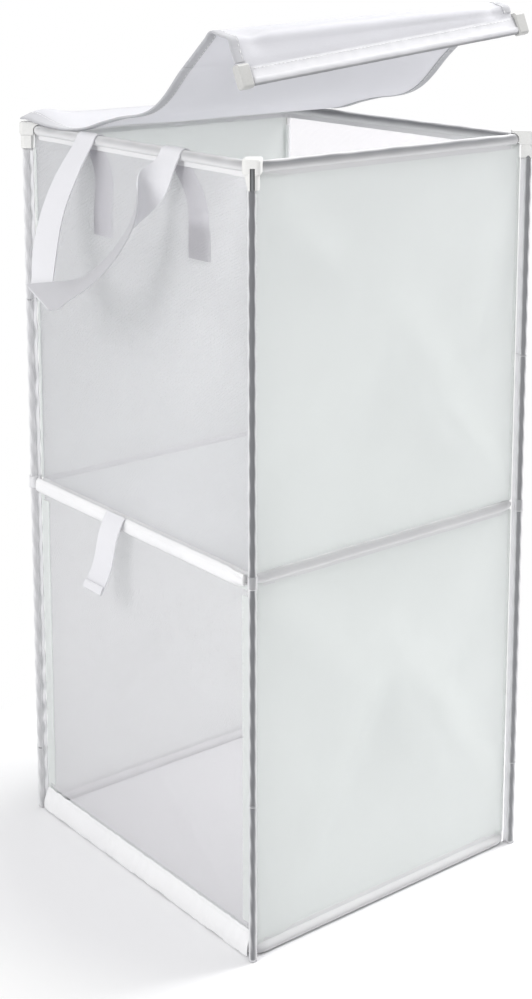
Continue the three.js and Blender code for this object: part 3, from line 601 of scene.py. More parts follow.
for name, height, mouth, lap, seed in (
    ("rim", RIM, -math.pi / 2, 0.0045, 1),
    ("middle", MIDDLE, -math.pi / 2, 0.0035, 2),
    ("base", BASE, math.pi / 2, 0.0045, 3),
):
    outline = teardrop(lap, mouth)
    rows = rail_sweep(outline, height, seed)
    up = outline[:, 1] * (-1 if name == "base" else 1)
    shade = smooth(-0.004, 0.003, up)[None, :] * steel_and_shade_by_side(name, rows[:, 0])[:, None]
    pipe = sew(name + "_piping", rows, piping, loop=(True, True), steel_and_shade=shade)
    mount(pipe, "hamper", "binding", name + "_rail_piping")
print("three rails of piping")

# %% [markdown]
# A wall is one sheet, sewn in all round and slack in its middle. Two things shape it: it is pulled
# from its corners, which throws long soft folds along its diagonals, and it bows in between the
# posts. The folds are sums of a few smooth ridges.

# %% Walls
def folds(u, v, ridges):
    """ridges: start and end in u and v, width as a share of the wall, height in metres."""
    total = np.zeros_like(u)
    for (u0, v0), (u1, v1), width, height in ridges:
        du, dv = u1 - u0, v1 - v0
        t = np.clip(((u - u0) * du + (v - v0) * dv) / (du * du + dv * dv), 0, 1)
        away = np.hypot(u - u0 - t * du, v - v0 - t * dv)
        ends = smooth(0, 0.18, t) * (1 - smooth(0.8, 1.0, t) * 0.8)
        total = total + height * np.exp(-((away / width) ** 2)) * (0.25 + 0.75 * ends)
    return total


def wall(seed, name, span, side, bow, ridges, cloth, edge_pull, node, steps=56):
    """A wall's u runs to the right as seen from outside."""
    low, high = span
    u, v = np.meshgrid(np.linspace(0, 1, steps + 1), np.linspace(0, 1, steps + 1))
    width = 2 * (HALF_X if side in ("front", "back") else HALF_Y) - 0.0022
    inside = 16 * u * (1 - u) * v * (1 - v)
    depth = bow * (1 - (2 * u - 1) ** 2) * (1 - (2 * v - 1) ** 2) - folds(u, v, ridges) * np.sqrt(inside)
    depth += 0.0009 * ripple(u * 16, v * 11, seed) * np.sqrt(inside)
    away = smooth(0, 0.09, u) * smooth(0, 0.09, 1 - u) * smooth(0, 0.08, v) * smooth(0, 0.08, 1 - v)
    depth += edge_pull * away
    s, z = (u - 0.5) * width, low + (high - low) * v
    rows = {
        "front": track(s, -HALF_Y + depth, z),
        "back": track(-s, HALF_Y - depth, z),
        "left": track(-HALF_X + depth, -s, z),
        "right": track(HALF_X - depth, s, z),
    }[side]
    made = sew(name, rows, cloth, thickness=0.0008 if cloth is woven else 0.0003)
    mount(made, "hamper", "woven_cloth" if cloth is woven else "mesh_cloth", node)


upper = (MIDDLE + 0.0045, RIM - 0.0045)
lower = (2 * BASE - 0.002, MIDDLE - 0.0045)
cross = [((0, 0), (0.42, 0.5), 0.07, 0.007), ((1, 0), (0.5, 0.62), 0.08, 0.008),
         ((0, 1), (0.3, 0.7), 0.07, 0.006)]
fanned = [((1, 0.04), (0.66, 0.34), 0.035, 0.005), ((1, 1), (0.8, 0.4), 0.05, 0.006)]
tent = [((0.04, 0), (0.5, 0.72), 0.06, 0.011), ((1, 0.1), (0.5, 0.72), 0.09, 0.012),
        ((1, 1), (0.7, 0.55), 0.07, 0.006), ((0, 1), (0.4, 0.6), 0.08, 0.006)]
slack = [((1, 1), (0.2, 0.1), 0.05, 0.0045), ((0, 1), (0.6, 0.3), 0.05, 0.003)]
soft = [((0, 0), (0.5, 0.45), 0.05, 0.002), ((1, 1), (0.6, 0.6), 0.05, 0.002)]
falling, rising = [((0, 1), (0.5, 0.5), 0.05, 0.002)], [((1, 1), (0.4, 0.4), 0.05, 0.002)]
WALLS = [  # piece, low and high edge, side, bow, ridges, cloth, pull off its edges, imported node
    ("front_wall_upper", upper, "front", 0.003, cross + fanned, woven, 0.0, "upper_front_wall"),
    ("front_wall_lower", lower, "front", 0.003, tent, woven, 0.0, "lower_front_wall"),
    ("back_wall_upper", upper, "back", 0.003, cross, woven, 0.003, "upper_back_wall"),
    ("back_wall_lower", lower, "back", 0.003, slack, woven, 0.003, "lower_back_wall"),
    ("right_mesh_upper", upper, "right", 0.0, falling, net, 0.0, "upper_right_mesh"),
    ("right_mesh_lower", lower, "right", 0.0, rising, net, 0.0, "lower_right_mesh"),
    ("left_mesh_upper", upper, "left", 0.0, soft, shaded_upper_net, 0.0, "upper_left_mesh"),
]
for seed, row in enumerate(WALLS, 1):
    wall(seed, *row)
print("seven walls")

# %% [markdown]
# The posts stand outside the corners of the cloth, each in a sleeve that is sewn into the corner
# seam by a flat fin. Cloth on a round post is tight and shows the steel, drawn as a grey that is
# part painted shade and differs from corner to corner; the fin puckers, because the seam draws it
# shorter than the wall. A tape covers each seam on both walls.

# %% Corner sleeves and seam tapes
SIGNS = {"front_left": (-1, -1), "front_right": (1, -1), "back_right": (1, 1), "back_left": (-1, 1)}
POST = 0.008  # from the corner of the walls to the post, along the diagonal
TUBE = 0.0038  # radius of the sleeve round the post
FIN_START, FIN_END, FIN_HALF = 0.0011, 0.0034, 0.0008


def corner_place(name, a, b, z):
    """a runs out along the diagonal from the corner of the walls, and b across it."""
    sx, sy = SIGNS[name]
    dx, dy = sx * math.sqrt(0.5), sy * math.sqrt(0.5)
    return track(sx * HALF_X + a * dx - b * dy, sy * HALF_Y + a * dy + b * dx, z)


def sleeve_rows(name, z, extra, seed, pucker):
    """Rows up a sleeve. extra is added all round, and pucker is the depth of its folds."""
    bite = math.asin(FIN_HALF / TUBE)
    turns = [math.pi + bite + (2 * math.pi - 2 * bite) * i / 17 for i in range(18)]
    fin = [(FIN_END, FIN_HALF), (FIN_START, FIN_HALF), (FIN_START, -FIN_HALF), (FIN_END, -FIN_HALF)]
    ring = [(POST + TUBE * math.cos(t), TUBE * math.sin(t)) for t in turns] + fin
    zz = np.asarray(z, float)
    folded = np.sin(zz * 2 * math.pi / 0.031 + 2.2 * np.sin(zz * 23 + seed))
    folded = folded * (0.55 + 0.45 * np.sin(zz * 17 + 3 * seed))
    rows = np.empty((len(zz), len(ring), 3))
    for j, (a, b) in enumerate(ring):
        on_fin = 1 - smooth(FIN_END, 0.0075, a)
        away = math.hypot(a - POST, b) or 1
        side = pucker * folded * (0.12 + 0.88 * on_fin)
        side = side + 0.3 * pucker * ripple(zz * 190, zz * 0 + j, seed, 3)
        swell = extra + 0.22 * pucker * np.sin(zz * 260 + j)
        rows[:, j] = corner_place(
            name,
            a + swell * (a - POST) / away * (1 if a > FIN_END else 0),
            b + swell * (b / away if a > FIN_END else math.copysign(1, b)) + side * on_fin,
            zz,
        )
    # The outer part of the tube takes the grey: the post under the cloth and painted shade.
    shade = np.array([float(smooth(0.0045, 0.0070, a)) for a, b in ring])
    return rows, np.tile(shade, (len(zz), 1))


def corner_tape(name, low, high, seed):
    """The tape over a corner seam. Three of its points lie on the woven wall, and three on the net."""
    sx, sy = SIGNS[name]
    wide, off = 0.0046, 0.0009
    spots = [(-wide, off * 0.6), (-wide / 2, off), (-0.001, off)]
    spots += [(y, x) for x, y in reversed(spots)]
    z = np.linspace(low, high, 90)
    rows = np.empty((len(z), len(spots), 3))
    for j, (x, y) in enumerate(spots):
        wave = 0.00035 * ripple(z * 150, z * 0 + j, seed, 4)
        rows[:, j] = track(sx * (HALF_X + x + wave * (j > 2)), sy * (HALF_Y + y + wave * (j < 3)), z)
    return rows


# The steel columns are the post's grey drawn by corner as painted shade and light; the lit back left is
# nearly white.
CORNERS = {  # pucker of the sleeve, steel that shows, growth of the collar, steel in it, heights of tacks
    "front_left": (0.0007, 1, 0.0006, 0.7, (0.154,)),
    "front_right": (0.0010, 0.9, 0.0006, 0.7, (0.090, 0.520)),
    "back_right": (0.0010, 0.7, 0.0006, 0.7, (0.11, 0.50)),
    "back_left": (0.0017, 0.3, 0.0016, 0, (0.069, 0.560)),
}
SEAM_IN, SEAM_OUT = 0.0034, 0.0012  # where a corner seam's stitches lie, from the corner of the walls


def sleeve(name, corner, z, extra, seed, pucker, corner_steel_and_shade, *nodes):
    rows, shade = sleeve_rows(corner, z, extra, seed, pucker)
    piece = sew(name, rows, sleeving, loop=(False, True), steel_and_shade=shade * corner_steel_and_shade)
    close_ends(piece)
    mount(piece, "hamper", "binding", *nodes)


for k, name in enumerate(corners):
    pucker, corner_steel_and_shade, growth, collar_steel_and_shade, tacks = CORNERS[name]
    height = np.linspace(0.0006, 0.7156, 260)
    sleeve(name + "_cloth_sleeve", name, height, 0.0, k + 1, pucker, corner_steel_and_shade, name + "_sleeve")
    height = MIDDLE + 0.006 * np.linspace(-1, 1, 13)
    sleeve(name + "_collar", name, height, growth, k + 5, 0.0005, collar_steel_and_shade)
    for i, (part, low, high) in enumerate((("lower", 0.0125, 0.3602), ("upper", 0.3718, 0.7160))):
        rows = corner_tape(name, low, high, k + i)
        strip = sew(f"{name}_seam_tape_{part}", rows, woven, thickness=0.0004)
        mount(strip, "hamper", "binding")
    for t in tacks:
        height = t + 0.0009 * np.linspace(-1, 1, 5)
        sleeve(f"{name}_tack_{int(t * 1000)}", name, height, 0.0003, k, 0.0, 0.8)
    sx, sy = SIGNS[name]
    lines = []
    for z in (np.linspace(0.013, 0.3595, 40), np.linspace(0.3725, 0.7150, 40)):
        lines.append(track(sx * (HALF_X - SEAM_IN), sy * (HALF_Y + SEAM_OUT), z))
        lines.append(track(sx * (HALF_X + SEAM_OUT), sy * (HALF_Y - SEAM_IN), z))
    stitches(name + "_seam", lines, "hamper", "binding")
print("four sleeves, collars and seams")

# %% [markdown]
# The bins share one floor: a sheet sewn into the middle rail all round, so it sags in its middle.

# %% Divider
DIVIDER_SAG = 0.008
path_line, _, _ = rail_line(120, inset=0.0036)
shares = np.linspace(0, 1, 22)
rows = np.empty((len(shares), len(path_line), 3))
for i, share in enumerate(shares):
    sag = -DIVIDER_SAG * (1 - share * share)
    swell = ripple(path_line[:, 0] * 30 * share, path_line[:, 1] * 30 * share, 4)
    rows[i, :, :2] = path_line * share
    rows[i, :, 2] = MIDDLE + sag + 0.0008 * swell * (1 - share)
divider = sew("divider_cloth", rows, woven, loop=(False, True), thickness=0.0009)
mount(divider, "hamper", "woven_cloth", "middle_divider")

# %% [markdown]
# The lower door is net in a frame of white tape. A band along the floor carries it, a stiff band
# closes over the middle rail with hook and loop strips, and a webbing tab pulls it open.

# %% Door sill and top band
def band(name, profile, half, seed, wave, thickness, flat=0.0, steps=150):
    """A band of tape that runs along Y, half to each side; profile is its section, in x and z. flat says
    how much of its bulge it loses at its front end, where it is drawn into the corner."""
    y = np.linspace(half, -half, steps)
    rows = np.empty((steps, len(profile), 3))
    for j, (x, z) in enumerate(profile):
        edge = 1.0 if j == 0 else 0.5 if j < len(profile) - 1 else 0.15
        pucker = 0.35 * wave * np.sin(y * 430 + 4 * np.sin(y * 37 + seed) + 0.3 * j) * np.sin(y * 61 + seed)
        rows[:, j, 0] = x + wave * 0.5 * ripple(y * 90, y * 0 + j * 0.8, seed) + pucker - abs(wave) * 0.3
        drawn = flat * smooth(0.024 - half, -half, y)
        rows[:, j, 0] += (-0.1722 - rows[:, j, 0]) * drawn
        z = z + (0.3652 - z) * 0.7 * drawn
        rows[:, j, 1] = y
        rows[:, j, 2] = z + wave * edge * ripple(y * 60, y * 0 + j * 0.3, seed + 1)
    return sew(name, rows, tape, thickness=thickness)


sill_shape = [(-0.1706, 0.0016), (-0.1708, 0.0045), (-0.1707, 0.0078), (-0.1702, 0.0105), (-0.1688, 0.0150),
              (-0.1668, 0.0203), (-0.1651, 0.0243)]
sill = band("door_sill", sill_shape, 0.1765, 11, 0.0012, 0.0010)
mount(sill, "hamper", "door_band", "door_sill_band")
y = np.linspace(0.175, -0.175, 60)
stitches("door_sill_seam", [track(-0.1677, y, 0.0222), track(-0.1714, y, 0.0062)], "hamper", "door_band")

top_shape = [(-0.1639, 0.3532), (-0.1665, 0.3550), (-0.1697, 0.3571), (-0.1722, 0.3588), (-0.1734, 0.3606),
             (-0.1738, 0.3634), (-0.1738, 0.3662), (-0.1734, 0.3689), (-0.1726, 0.3707), (-0.1711, 0.3718)]
top = band("door_band", top_shape, 0.1735, 13, 0.0006, 0.0012, flat=0.75)
mount(top, "door", "door_band", "door_top_band")
seams = [track(-0.1743, y * 0.98, 0.3680), track(-0.1742, y * 0.98, 0.3606)]
stitches("door_band_seam", seams, "door", "door_band")

# %% Door net and its hems
u, v = np.meshgrid(np.linspace(0, 1, 57), np.linspace(0, 1, 57))
held = 16 * u * (1 - u) * v * (1 - v)
ridges = [((0.98, 1.0), (0.3, 0.35), 0.05, 0.007), ((1, 0), (0.6, 0.3), 0.05, 0.005),
          ((0, 0), (0.4, 0.3), 0.05, 0.004)]
lifted = folds(u, v, ridges) + 0.0007 * ripple(u * 14, v * 12, 8)
rows = track(-HALF_X - lifted * np.sqrt(held), 0.1738 * (1 - 2 * u), 0.0256 + 0.3273 * v)
door_net = sew("door_net", rows, net, thickness=0.0003)
mount(door_net, "door", "mesh_cloth", "door_mesh")
for side, node in ((-1, "door_front_hem"), (1, "door_back_hem")):
    z = np.linspace(0.031, 0.3475, 90)
    rows = np.empty((len(z), 4, 3))
    for j, y in enumerate((0.1739, 0.1705, 0.1671, 0.1637)):
        rows[:, j] = track(-0.1653 - 0.0003 * ripple(z * 120, z * 0 + j, side + 3), side * y, z)
    hem = sew(node + "_tape", rows, woven, thickness=0.0008)
    mount(hem, "door", "door_band", node)
    stitches(node + "_seam", [track(-0.1659, side * 0.1654, z)], "door", "door_band")

# %% Hook and loop strips
for node, body, seed in (("rail_fastener_strip", "hamper", 21), ("door_fastener_strip", "door", 22)):
    low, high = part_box(node)
    yy, zz = np.meshgrid(np.linspace(high.y, low.y, 120), np.linspace(low.z, high.z, 7), indexing="ij")
    rows = track((low.x + high.x) / 2 + 0.0001 * ripple(yy * 300, zz * 900, seed), yy, zz)
    strip = sew(node + "_pile", rows, pile, thickness=(high.x - low.x) * 0.85)
    mount(strip, body, "fastener", node)

# %% [markdown]
# Webbing is a flat woven strap, so it is modelled directly: a line of places, each with the
# direction of its width. The tab is folded over the door's band and its end is turned up and sewn.

# %% Webbing
TAB_WIDE, TAB_Y = 0.0305, 0.025
TAB_LEAN = math.radians(20)


def tab_place(down, out, y=TAB_Y):
    """A place on the pull tab: down its length from its top, and out from it."""
    x = -0.17555 - down * math.sin(TAB_LEAN) - out * math.cos(TAB_LEAN)
    return (x, y, 0.3715 - down * math.cos(TAB_LEAN) + out * math.sin(TAB_LEAN))


down_tab = (0.0035, 0.008, 0.014, 0.021, 0.029, 0.037, 0.045, 0.053, 0.060, 0.066, 0.071, 0.0736)
over_band = ((-0.1722, 0.3650), (-0.1722, 0.3695), (-0.1727, 0.3723), (-0.1742, 0.3732))
turned_up = ((0.0746, 0.0016), (0.0738, 0.0026), (0.0705, 0.0025), (0.0665, 0.0020))
spots = [(x, TAB_Y, z) for x, z in over_band]
spots += [tab_place(d, 0.0016 * math.sin(d * 95)) for d in down_tab]
spots += [tab_place(d, out) for d, out in turned_up]
rows = np.array(spots)[:, None] + np.array([0, TAB_WIDE, 0]) * np.linspace(-0.5, 0.5, 9)[None, :, None]
tab = sew("door_pull_tab", rows, webbing, thickness=0.0012)
bend(tab, "door", "tab", (tab_place(0.001, 0), tab_place(0.012, 0)), "webbing", "pull_tab")
line = np.array([tab_place(0.0680, 0.0032, TAB_Y + k) for k in np.linspace(-0.0135, 0.0135, 8)])
stitches("door_pull_tab_seam", [line], "tab", "webbing", pitch=0.003, long=0.0022)
print("door and tab")

# %% [markdown]
# The handle is one strap. Each end is sewn inside the net under a square patch, bulges off the net
# on its way up, crosses the rim and joins the loop outside. There it hangs down on the left, folds
# over itself along a crease, and turns half round about its length on its way up again.

# %% Handle
RIM_TURN, SWING_X = 0.0065, -0.17135
LEAN = math.radians(31)
HALF_STRAP = 0.015
LEG = [  # height, how far it bulges off the net, how far it has moved aside to its place on the rim
    (0.642, 0, 0), (0.649, 0, 0), (0.656, 0, 0), (0.663, 0, 0), (0.670, 0.05, 0), (0.677, 0.2, 0.05),
    (0.685, 0.5, 0.14), (0.693, 0.82, 0.3), (0.702, 1.0, 0.5), (0.711, 0.95, 0.72), (0.719, 0.6, 0.9),
    (0.7265, 0.15, 0.99),
]


def leg(rim_y, patch_y):
    """From the foot of the patch up the inside and over the rim."""
    spots = [(-0.1624 + 0.008 * bulge, patch_y + (rim_y - patch_y) * aside, z) for z, bulge, aside in LEG]
    for i in range(11):
        a = math.pi * i / 10
        spots.append((-HALF_X + RIM_TURN * math.cos(a), rim_y, RIM + RIM_TURN * math.sin(a)))
    return spots


RIGHT = np.array([0, -1, 0])
UP = np.array([math.sin(LEAN), 0, math.cos(LEAN)])
OFF = np.array([-math.cos(LEAN), 0, math.sin(LEAN)])
CREASE = math.radians(-17.3)
LEFT_SIDE = [(-0.073, -0.0034), (-0.0765, -0.030), (-0.0762, -0.055), (-0.0705, -0.0815), (-0.0600, -0.105),
             (-0.0470, -0.127), (-0.0330, -0.148), (-0.0260, -0.1585)]
RIGHT_SIDE = [(-0.0260, -0.1585), (0.002, -0.1515), (0.023, -0.1440), (0.0450, -0.1220), (0.0585, -0.090),
              (0.0632, -0.060), (0.0645, -0.035), (0.066, -0.0034)]
TWIST = [  # height on the right side, turn of the strap about its length
    (-0.105, -0.38), (-0.070, -0.62), (-0.052, -1.10), (-0.036, -1.75), (-0.022, -2.60), (-0.012, -math.pi),
]


def loop_place(right, up, off=0.0):
    """A place in the plane that the loop hangs in: to the right and up as seen from outside, and off it."""
    return np.array([SWING_X, 0, RIM]) + RIGHT * right + UP * up + OFF * (off - 0.00085)


def eased(points, count):
    """A smooth line through the neighbourhood of a few places, with its directions."""
    points = np.array(points)
    at = np.linspace(0, lengths(points)[-1], count)
    line = np.stack([np.interp(at, lengths(points), points[:, i]) for i in (0, 1)], 1)
    for _ in range(40):
        line[1:-1] = line[1:-1] * 0.5 + (line[:-2] + line[2:]) * 0.25
    way = np.gradient(line, axis=0)
    return line, way / np.linalg.norm(way, axis=1, keepdims=True), at


def hanging():
    """Rows down the left side, round the crease where the strap is folded over itself, and up the
    right side, where it turns back. Each row is its middle, the way across it, its cup, its painted
    shade and its turn."""
    made = []
    line, way, at = eased(LEFT_SIDE, 50)
    for spot, (a, b), d in zip(line, way, at[-1] - at):
        tilt = 1 / math.tan(CREASE - math.atan2(b, a)) * float(smooth(0.060, 0.0, d))
        aside = 0.16 * float(smooth(0.012, 0.055, d) * smooth(-0.004, -0.050, spot[1]))
        across = (RIGHT * (b - a * tilt) + UP * (-a - b * tilt)) * math.cos(aside) + OFF * math.sin(aside)
        made.append((loop_place(*spot), across, 0.0, 0.0, 0.0))
    for k in range(1, 8):
        turn = math.pi * (k / 8 - 0.5)
        out = line[-1] + 0.0013 * math.cos(turn) * np.array([math.sin(CREASE), -math.cos(CREASE)])
        made.append((loop_place(*out, 0.0013 * (1 + math.sin(turn))), across, 0.0, 0.25, 0.0))
    line, way, at = eased(RIGHT_SIDE, 60)
    twist = np.interp(line[:, 1], *zip(*TWIST))
    for _ in range(6):
        twist[1:-1] = twist[1:-1] * 0.5 + (twist[:-2] + twist[2:]) * 0.25
    for spot, (a, b), d, turn in zip(line, way, at, twist * smooth(0.014, 0.060, at)):
        tilt = 1 / math.tan(math.atan2(b, a) - CREASE) * float(smooth(0.060, 0.0, d))
        off = 0.0026 * float(smooth(0.13, 0.05, d)) - 0.004 * math.sin(turn)
        across = (RIGHT * -b + UP * a) * math.cos(turn) + OFF * math.sin(turn) - (RIGHT * a + UP * b) * tilt
        made.append((loop_place(*spot, off), across, -0.007 * math.sin(turn), 0.6, turn))
    return made


loop = hanging()
back_leg, front_leg = leg(0.073, 0.057), leg(-0.066, -0.098)[::-1]


def whole(k, back=0, front=0):
    """Value k of each row of the strap, with one value for all the rows of each leg."""
    return np.array([back] * len(back_leg) + [row[k] for row in loop] + [front] * len(front_leg), float)


spots = np.array(back_leg + [tuple(row[0]) for row in loop] + front_leg, float)
halves = whole(1, (0, 1, 0), (0, -1, 0)) * HALF_STRAP
cups, dark, turns = whole(2), whole(3), whole(4)
within = smooth(-0.1650, -0.1615, spots[:, 0]) * smooth(0.735, 0.722, spots[:, 2])
# Painted shade on the foot of the front leg, seen inside through the net.
dark = dark + within * smooth(0.674, 0.669, spots[:, 2]) * (spots[:, 1] < 0)
folded = slice(len(back_leg) + 46, len(back_leg) + 62)  # the crease stays sharp
for _ in range(3):
    for line in (spots, halves):
        soft = line.copy()
        soft[1:-1] = line[1:-1] * 0.6 + (line[:-2] + line[2:]) * 0.2
        soft[folded] = line[folded]
        line[:] = soft
face = np.cross(np.gradient(spots, axis=0), halves)
face /= np.maximum(np.linalg.norm(face, axis=1, keepdims=True), 1e-9)
share = np.linspace(-1, 1, 11)
cupped = (cups[:, None] * (0.4 - share[None] ** 2))[..., None]
rows = spots[:, None] + halves[:, None] * share[None, :, None] + face[:, None] * cupped
# Painted shade on the face of the strap that turns down, away from the lamps.
lean_over = turns[:, None] - np.arctan(cups[:, None] * share[None] * 2 / HALF_STRAP)
shade = dark[:, None] * smooth(-1.0, -0.5, lean_over)
handle = sew("carry_handle", rows, webbing, thickness=0.0013, steel_and_shade=shade)
nodes = ("handle_back_leg", "handle_front_leg", "handle_loop")
bend(handle, "hamper", "handle", ((-0.1706, 0, RIM), (-0.1765, 0, RIM)), "webbing", *nodes)
print("handle strap", round(float(lengths(spots)[-1]), 3), "m long")

# %% Handle patches
for node in ("handle_back_patch", "handle_front_patch"):
    low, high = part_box(node)
    yy, zz = np.meshgrid(np.linspace(low.y, high.y, 9), np.linspace(low.z, high.z, 9), indexing="ij")
    rows = track((low.x + high.x) / 2 + 0.0002 * ripple(yy * 300, zz * 300, 3), yy, zz)
    # The front patch is painted darker: the shade it lies in behind the net.
    shade = 0 * yy + (1 if node == "handle_front_patch" else 0)
    patch = sew(node + "_cloth", rows, webbing, thickness=0.0009, steel_and_shade=shade)
    mount(patch, "hamper", "webbing", node)
    x, a, b, c, d = high.x, low.y + 0.003, high.y - 0.003, low.z + 0.003, high.z - 0.003
    box = [(x, a, c), (x, b, c), (x, b, d), (x, a, d), (x, a, c)]
    lines = [np.array(box), np.array([(x, a, c), (x, b, d)]), np.array([(x, a, d), (x, b, c)])]
    stitches(node + "_seam", lines, "hamper", "webbing", pitch=0.003, long=0.0022)

# %% [markdown]
# The lid is one cloth with bound edges. It lies on the back rail, rises in a long curve, folds
# over a soft crest that runs a little askew, and hangs down to a steel bar in its front hem. It is
# drawn flat and carried through six hinge lines; near each line a point turns from one panel to
# the next bit by bit, which rounds the fold. It is cut in the middle of each panel, so that each
# piece holds one fold, and the cuts don't show.

# %% The lid's surface
LID_X, HINGE_Y, HINGE_Z = 0.166, 0.183, 0.7484
LID_WIDE = 0.331  # of the cloth alone, inside its bindings
LID_FOLDS = [  # place at the left and right edge, degrees, half the length that bends, depth of its axis
    (0, 0, 3.2, 0, 0), (0.092, 0.092, -16.5, 0.044, 0), (0.219, 0.219, -26.4, 0.060, 0),
    (0.3345, 0.360, 51, 0.0105, 0), (0.359, 0.375, 58, 0.0085, 0), (0.381, 0.381, 2, 0.003, -0.0011),
]


def about(q, start, end, degrees):
    """Turns points about the line from start to end."""
    k = np.array(end, float) - start
    k /= np.linalg.norm(k)
    a = math.radians(degrees)
    p = q - start
    return start + p * math.cos(a) + np.cross(k, p) * math.sin(a) + k * (p @ k)[..., None] * (1 - math.cos(a))


def lid_panels(x, s, n):
    """Where each panel would carry a place of the flat lid: x across, s from the hinge and n up."""
    flat = track(x, -s, n)
    made = []
    for k in range(len(LID_FOLDS)):
        q = flat
        for left, right, degrees, _, axis in reversed(LID_FOLDS[: k + 1]):
            q = about(q, np.array([-LID_X, -left, axis]), np.array([LID_X, -right, axis]), degrees)
        made.append(q + np.array([0, HINGE_Y, HINGE_Z]))
    return made


def fold_line(k, x):
    left, right = LID_FOLDS[k][:2]
    return left + (right - left) * (x + LID_X) / (2 * LID_X)


def relief(x, s):
    """How far the cloth stands off its folded shape: it dips near the bar's caps and rises over the
    clips at the back."""

    def mound(at_x, at_s, wide, long):
        return np.exp(-(((x - at_x) / wide) ** 2) - (((s - at_s) / long) ** 2))

    up = 0.0012 * ripple(x * 26, s * 20, 6) * smooth(0, 0.05, s) * (1 - smooth(0.355, 0.385, s))
    up = up - 0.0040 * mound(-0.138, 0.360, 0.012, 0.012) - 0.0036 * mound(0.146, 0.376, 0.012, 0.009)
    up = up * (1 - 0.75 * smooth(0.149, 0.166, np.abs(x)))
    up = up + 0.0075 * mound(-0.158, 0.014, 0.028, 0.026) + 0.0045 * mound(0.156, 0.016, 0.028, 0.020)
    return up - 0.0030 * mound(-0.150, 0.066, 0.030, 0.022)


def lid_at(x, s, n=0.0):
    """The lid's cloth in place. It is a little wider where it covers the clips at the back."""
    x, s = np.broadcast_arrays(np.asarray(x, float), np.asarray(s, float))
    at_left, at_right = 1 - smooth(-0.166, -0.138, x), smooth(0.138, 0.166, x)
    rear = 1 - smooth(0.022, 0.085, s)
    droop = (0.0060 * at_left**2 + 0.004 * at_right**2) * rear
    x = x + (0.003 * at_right - 0.0100 * at_left) * rear
    panels = lid_panels(x, s, relief(x, s) - droop + n)
    p = panels[0]
    for k in range(1, len(LID_FOLDS)):
        half = LID_FOLDS[k][3]
        p = p + smooth(-half, half, s - fold_line(k, x))[..., None] * (panels[k] - panels[k - 1])
    return p


def fold_ends(k):
    """Two points, before and after a fold, in the middle of the lid and square to its line."""
    left, right, _, half, _ = LID_FOLDS[k]
    skew = math.atan2(right - left, 2 * LID_X)
    middle = (left + right) / 2
    ends = []
    for d in (-half, half):
        place = lid_panels(-math.sin(skew) * d, middle + math.cos(skew) * d, 0.0)[k - 1 if d < 0 else k]
        ends.append(tuple(float(c) for c in place))
    return ends


def level(place):
    return lambda x: place + 0 * x


def between(k):
    """The line half way between a fold and the next one."""
    return lambda x: (fold_line(k, x) + fold_line(k + 1, x)) / 2


LID_BODIES = ("lid_rear", "lid_middle", "lid_front", "lid_crest", "lid_brow", "lid_flap")
LID_PARTS = [  # name, rows, first and last place from the hinge; part k bends at fold k
    ("rear", 60, level(0.0006), level(0.155)),
    ("middle", 50, level(0.155), level(0.285)),
    ("front", 60, level(0.285), between(3)),
    ("brow", 20, between(3), between(4)),
    ("flap", 24, between(4), level(0.390)),
]
LID_EDGE = [(0.1568, 0.0011), (0.160, 0.0013), (0.164, 0.0013), (0.1662, 0.0009), (0.1669, 0.0)]
LID_EDGE += [(a, -b) for a, b in LID_EDGE[-2::-1]]
LID_STITCH = 0.0046

# %% Lid cloth, bindings and their seams
for k, (name, steps, first, last) in enumerate(LID_PARTS, 1):
    near, far = LID_BODIES[k - 1 : k + 1]
    nodes = [body + "_panel" for body in (near, far) if body != "lid_flap"]
    ends = fold_ends(k)
    share = np.linspace(0, 1, steps + 1)[:, None]
    x = LID_WIDE / 2 * np.linspace(-1, 1, 97)[None, :] + 0 * share
    s = first(x) + (last(x) - first(x)) * share
    if name == "flap":  # the cloth draws in at the left, where it passes into the cap
        x = np.where(x < 0, x * (1 - 0.0665 * smooth(0.3790, 0.3840, s)), x)
    cloth = sew("lid_" + name + "_cloth", lid_at(x, s), lid_weave, thickness=0.0012)
    bend(cloth, near, far, ends, "lid_cloth", *nodes)
    for side, sign in (("left", -1), ("right", 1)):
        at = sign * LID_WIDE / 2
        stop = 0.3812 if name == "flap" else last(at)
        line = np.linspace(first(at), stop, 50)
        rows = np.stack([lid_at(sign * a, line, b) for a, b in LID_EDGE], 1)
        edge = sew(f"lid_{name}_{side}_binding", rows, binding, loop=(False, True), angle=60)
        close_ends(edge)
        bend(edge, near, far, ends, "binding")
        seams = [lid_at(sign * 0.1582, line, n) for n in (0.0013, -0.0013)]
        seam = stitches(f"lid_{name}_{side}_seam", seams, pitch=LID_STITCH)
        bend(seam, near, far, ends, "binding")
    deep = last(x[-1]) - first(x[0])
print("five pieces of lid cloth")

# %% [markdown]
# The front hem is the lid's cloth turned round the bar and sewn to itself 14 mm above. The cloth
# stands off the bar a little on both sides, so it is drawn as a teardrop and not as a pipe.

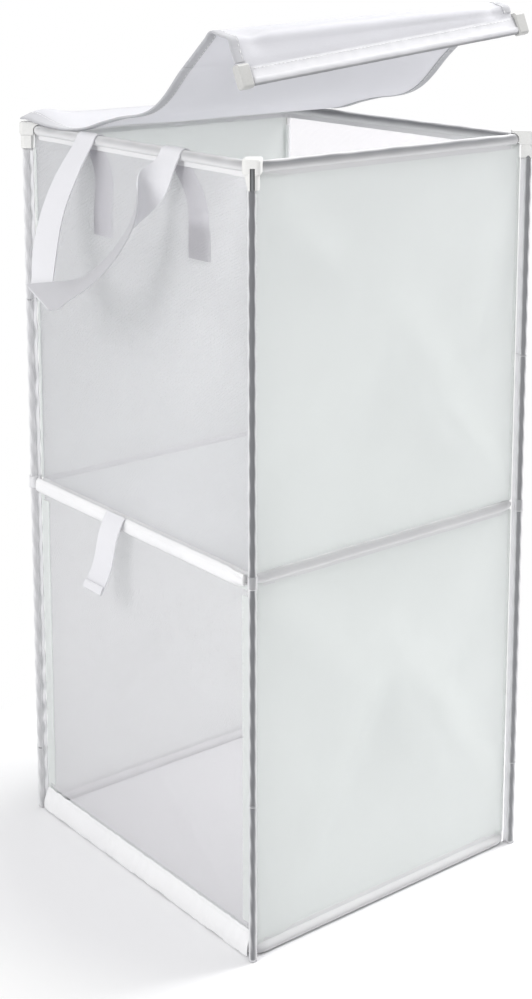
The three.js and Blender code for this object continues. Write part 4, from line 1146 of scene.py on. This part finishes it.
# %% Front hem
BAR_AT, HEM_RADIUS = 0.399, 0.0041

ring = [(0.3862, -0.0014), (0.3905, -0.0019)]
for i in range(15):
    a = -math.pi + math.radians(38) + math.radians(284) * i / 14
    ring.append((BAR_AT + HEM_RADIUS * math.cos(a), HEM_RADIUS * math.sin(a)))
ring += [(0.3905, 0.0019), (0.3862, 0.0014)]
x = np.linspace(-0.1546, 0.1666, 110)
rows = np.empty((len(x), len(ring), 3))
for j, (s, n) in enumerate(ring):
    off = 0.00045 * ripple(x * 120, x * 0 + j * 0.6, 9)
    rows[:, j] = lid_panels(x, s + off * 0.5, n + off)[5]
# Painted shade on the underside of the hem, below the bar.
under = smooth(0.4008, 0.4026, [s for s, n in ring])
hem = sew("lid_hem", rows, hem_weave, loop=(False, True), steel_and_shade=np.tile(0.75 * under, (len(x), 1)))
close_ends(hem)
mount(hem, "lid_flap", "lid_cloth", "lid_hem_sleeve")
x = np.linspace(-0.151, 0.162, 50)
seams = [lid_panels(x, 0.3885, n)[5] for n in (0.0019, -0.0019)]
stitches("lid_hem_seam", seams, "lid_flap", "lid_cloth", pitch=LID_STITCH)

# %% Hinge tape
section = [(0.1850, 0.7264), (0.1853, 0.7300), (0.1854, 0.7345), (0.1850, 0.7385), (0.1843, 0.7425),
           (0.1838, 0.7452), (0.1828, 0.7467), (0.1810, 0.7468), (0.1775, 0.7466), (0.1735, 0.7464)]
x = np.linspace(-0.148, 0.148, 90)
rows = np.empty((len(x), len(section), 3))
for j, (y, z) in enumerate(section):
    rows[:, j] = track(x, y + 0.0003 * ripple(x * 90, x * 0 + j, 5) * (j < 6), z)
hinge = sew("lid_hinge_binding", rows, binding, thickness=0.0009)
bend(hinge, "hamper", "lid_rear", ((0, 0.1846, 0.7440), (0, 0.1785, 0.7480)), "binding", "lid_hinge_tape")
stitches("lid_hinge_seam", [track(x, 0.1861, 0.7285)], "hamper", "binding")
print("lid done")

# %% Size and finish
low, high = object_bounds()
print("visual box", [round(c, 4) for c in low], [round(c, 4) for c in high])
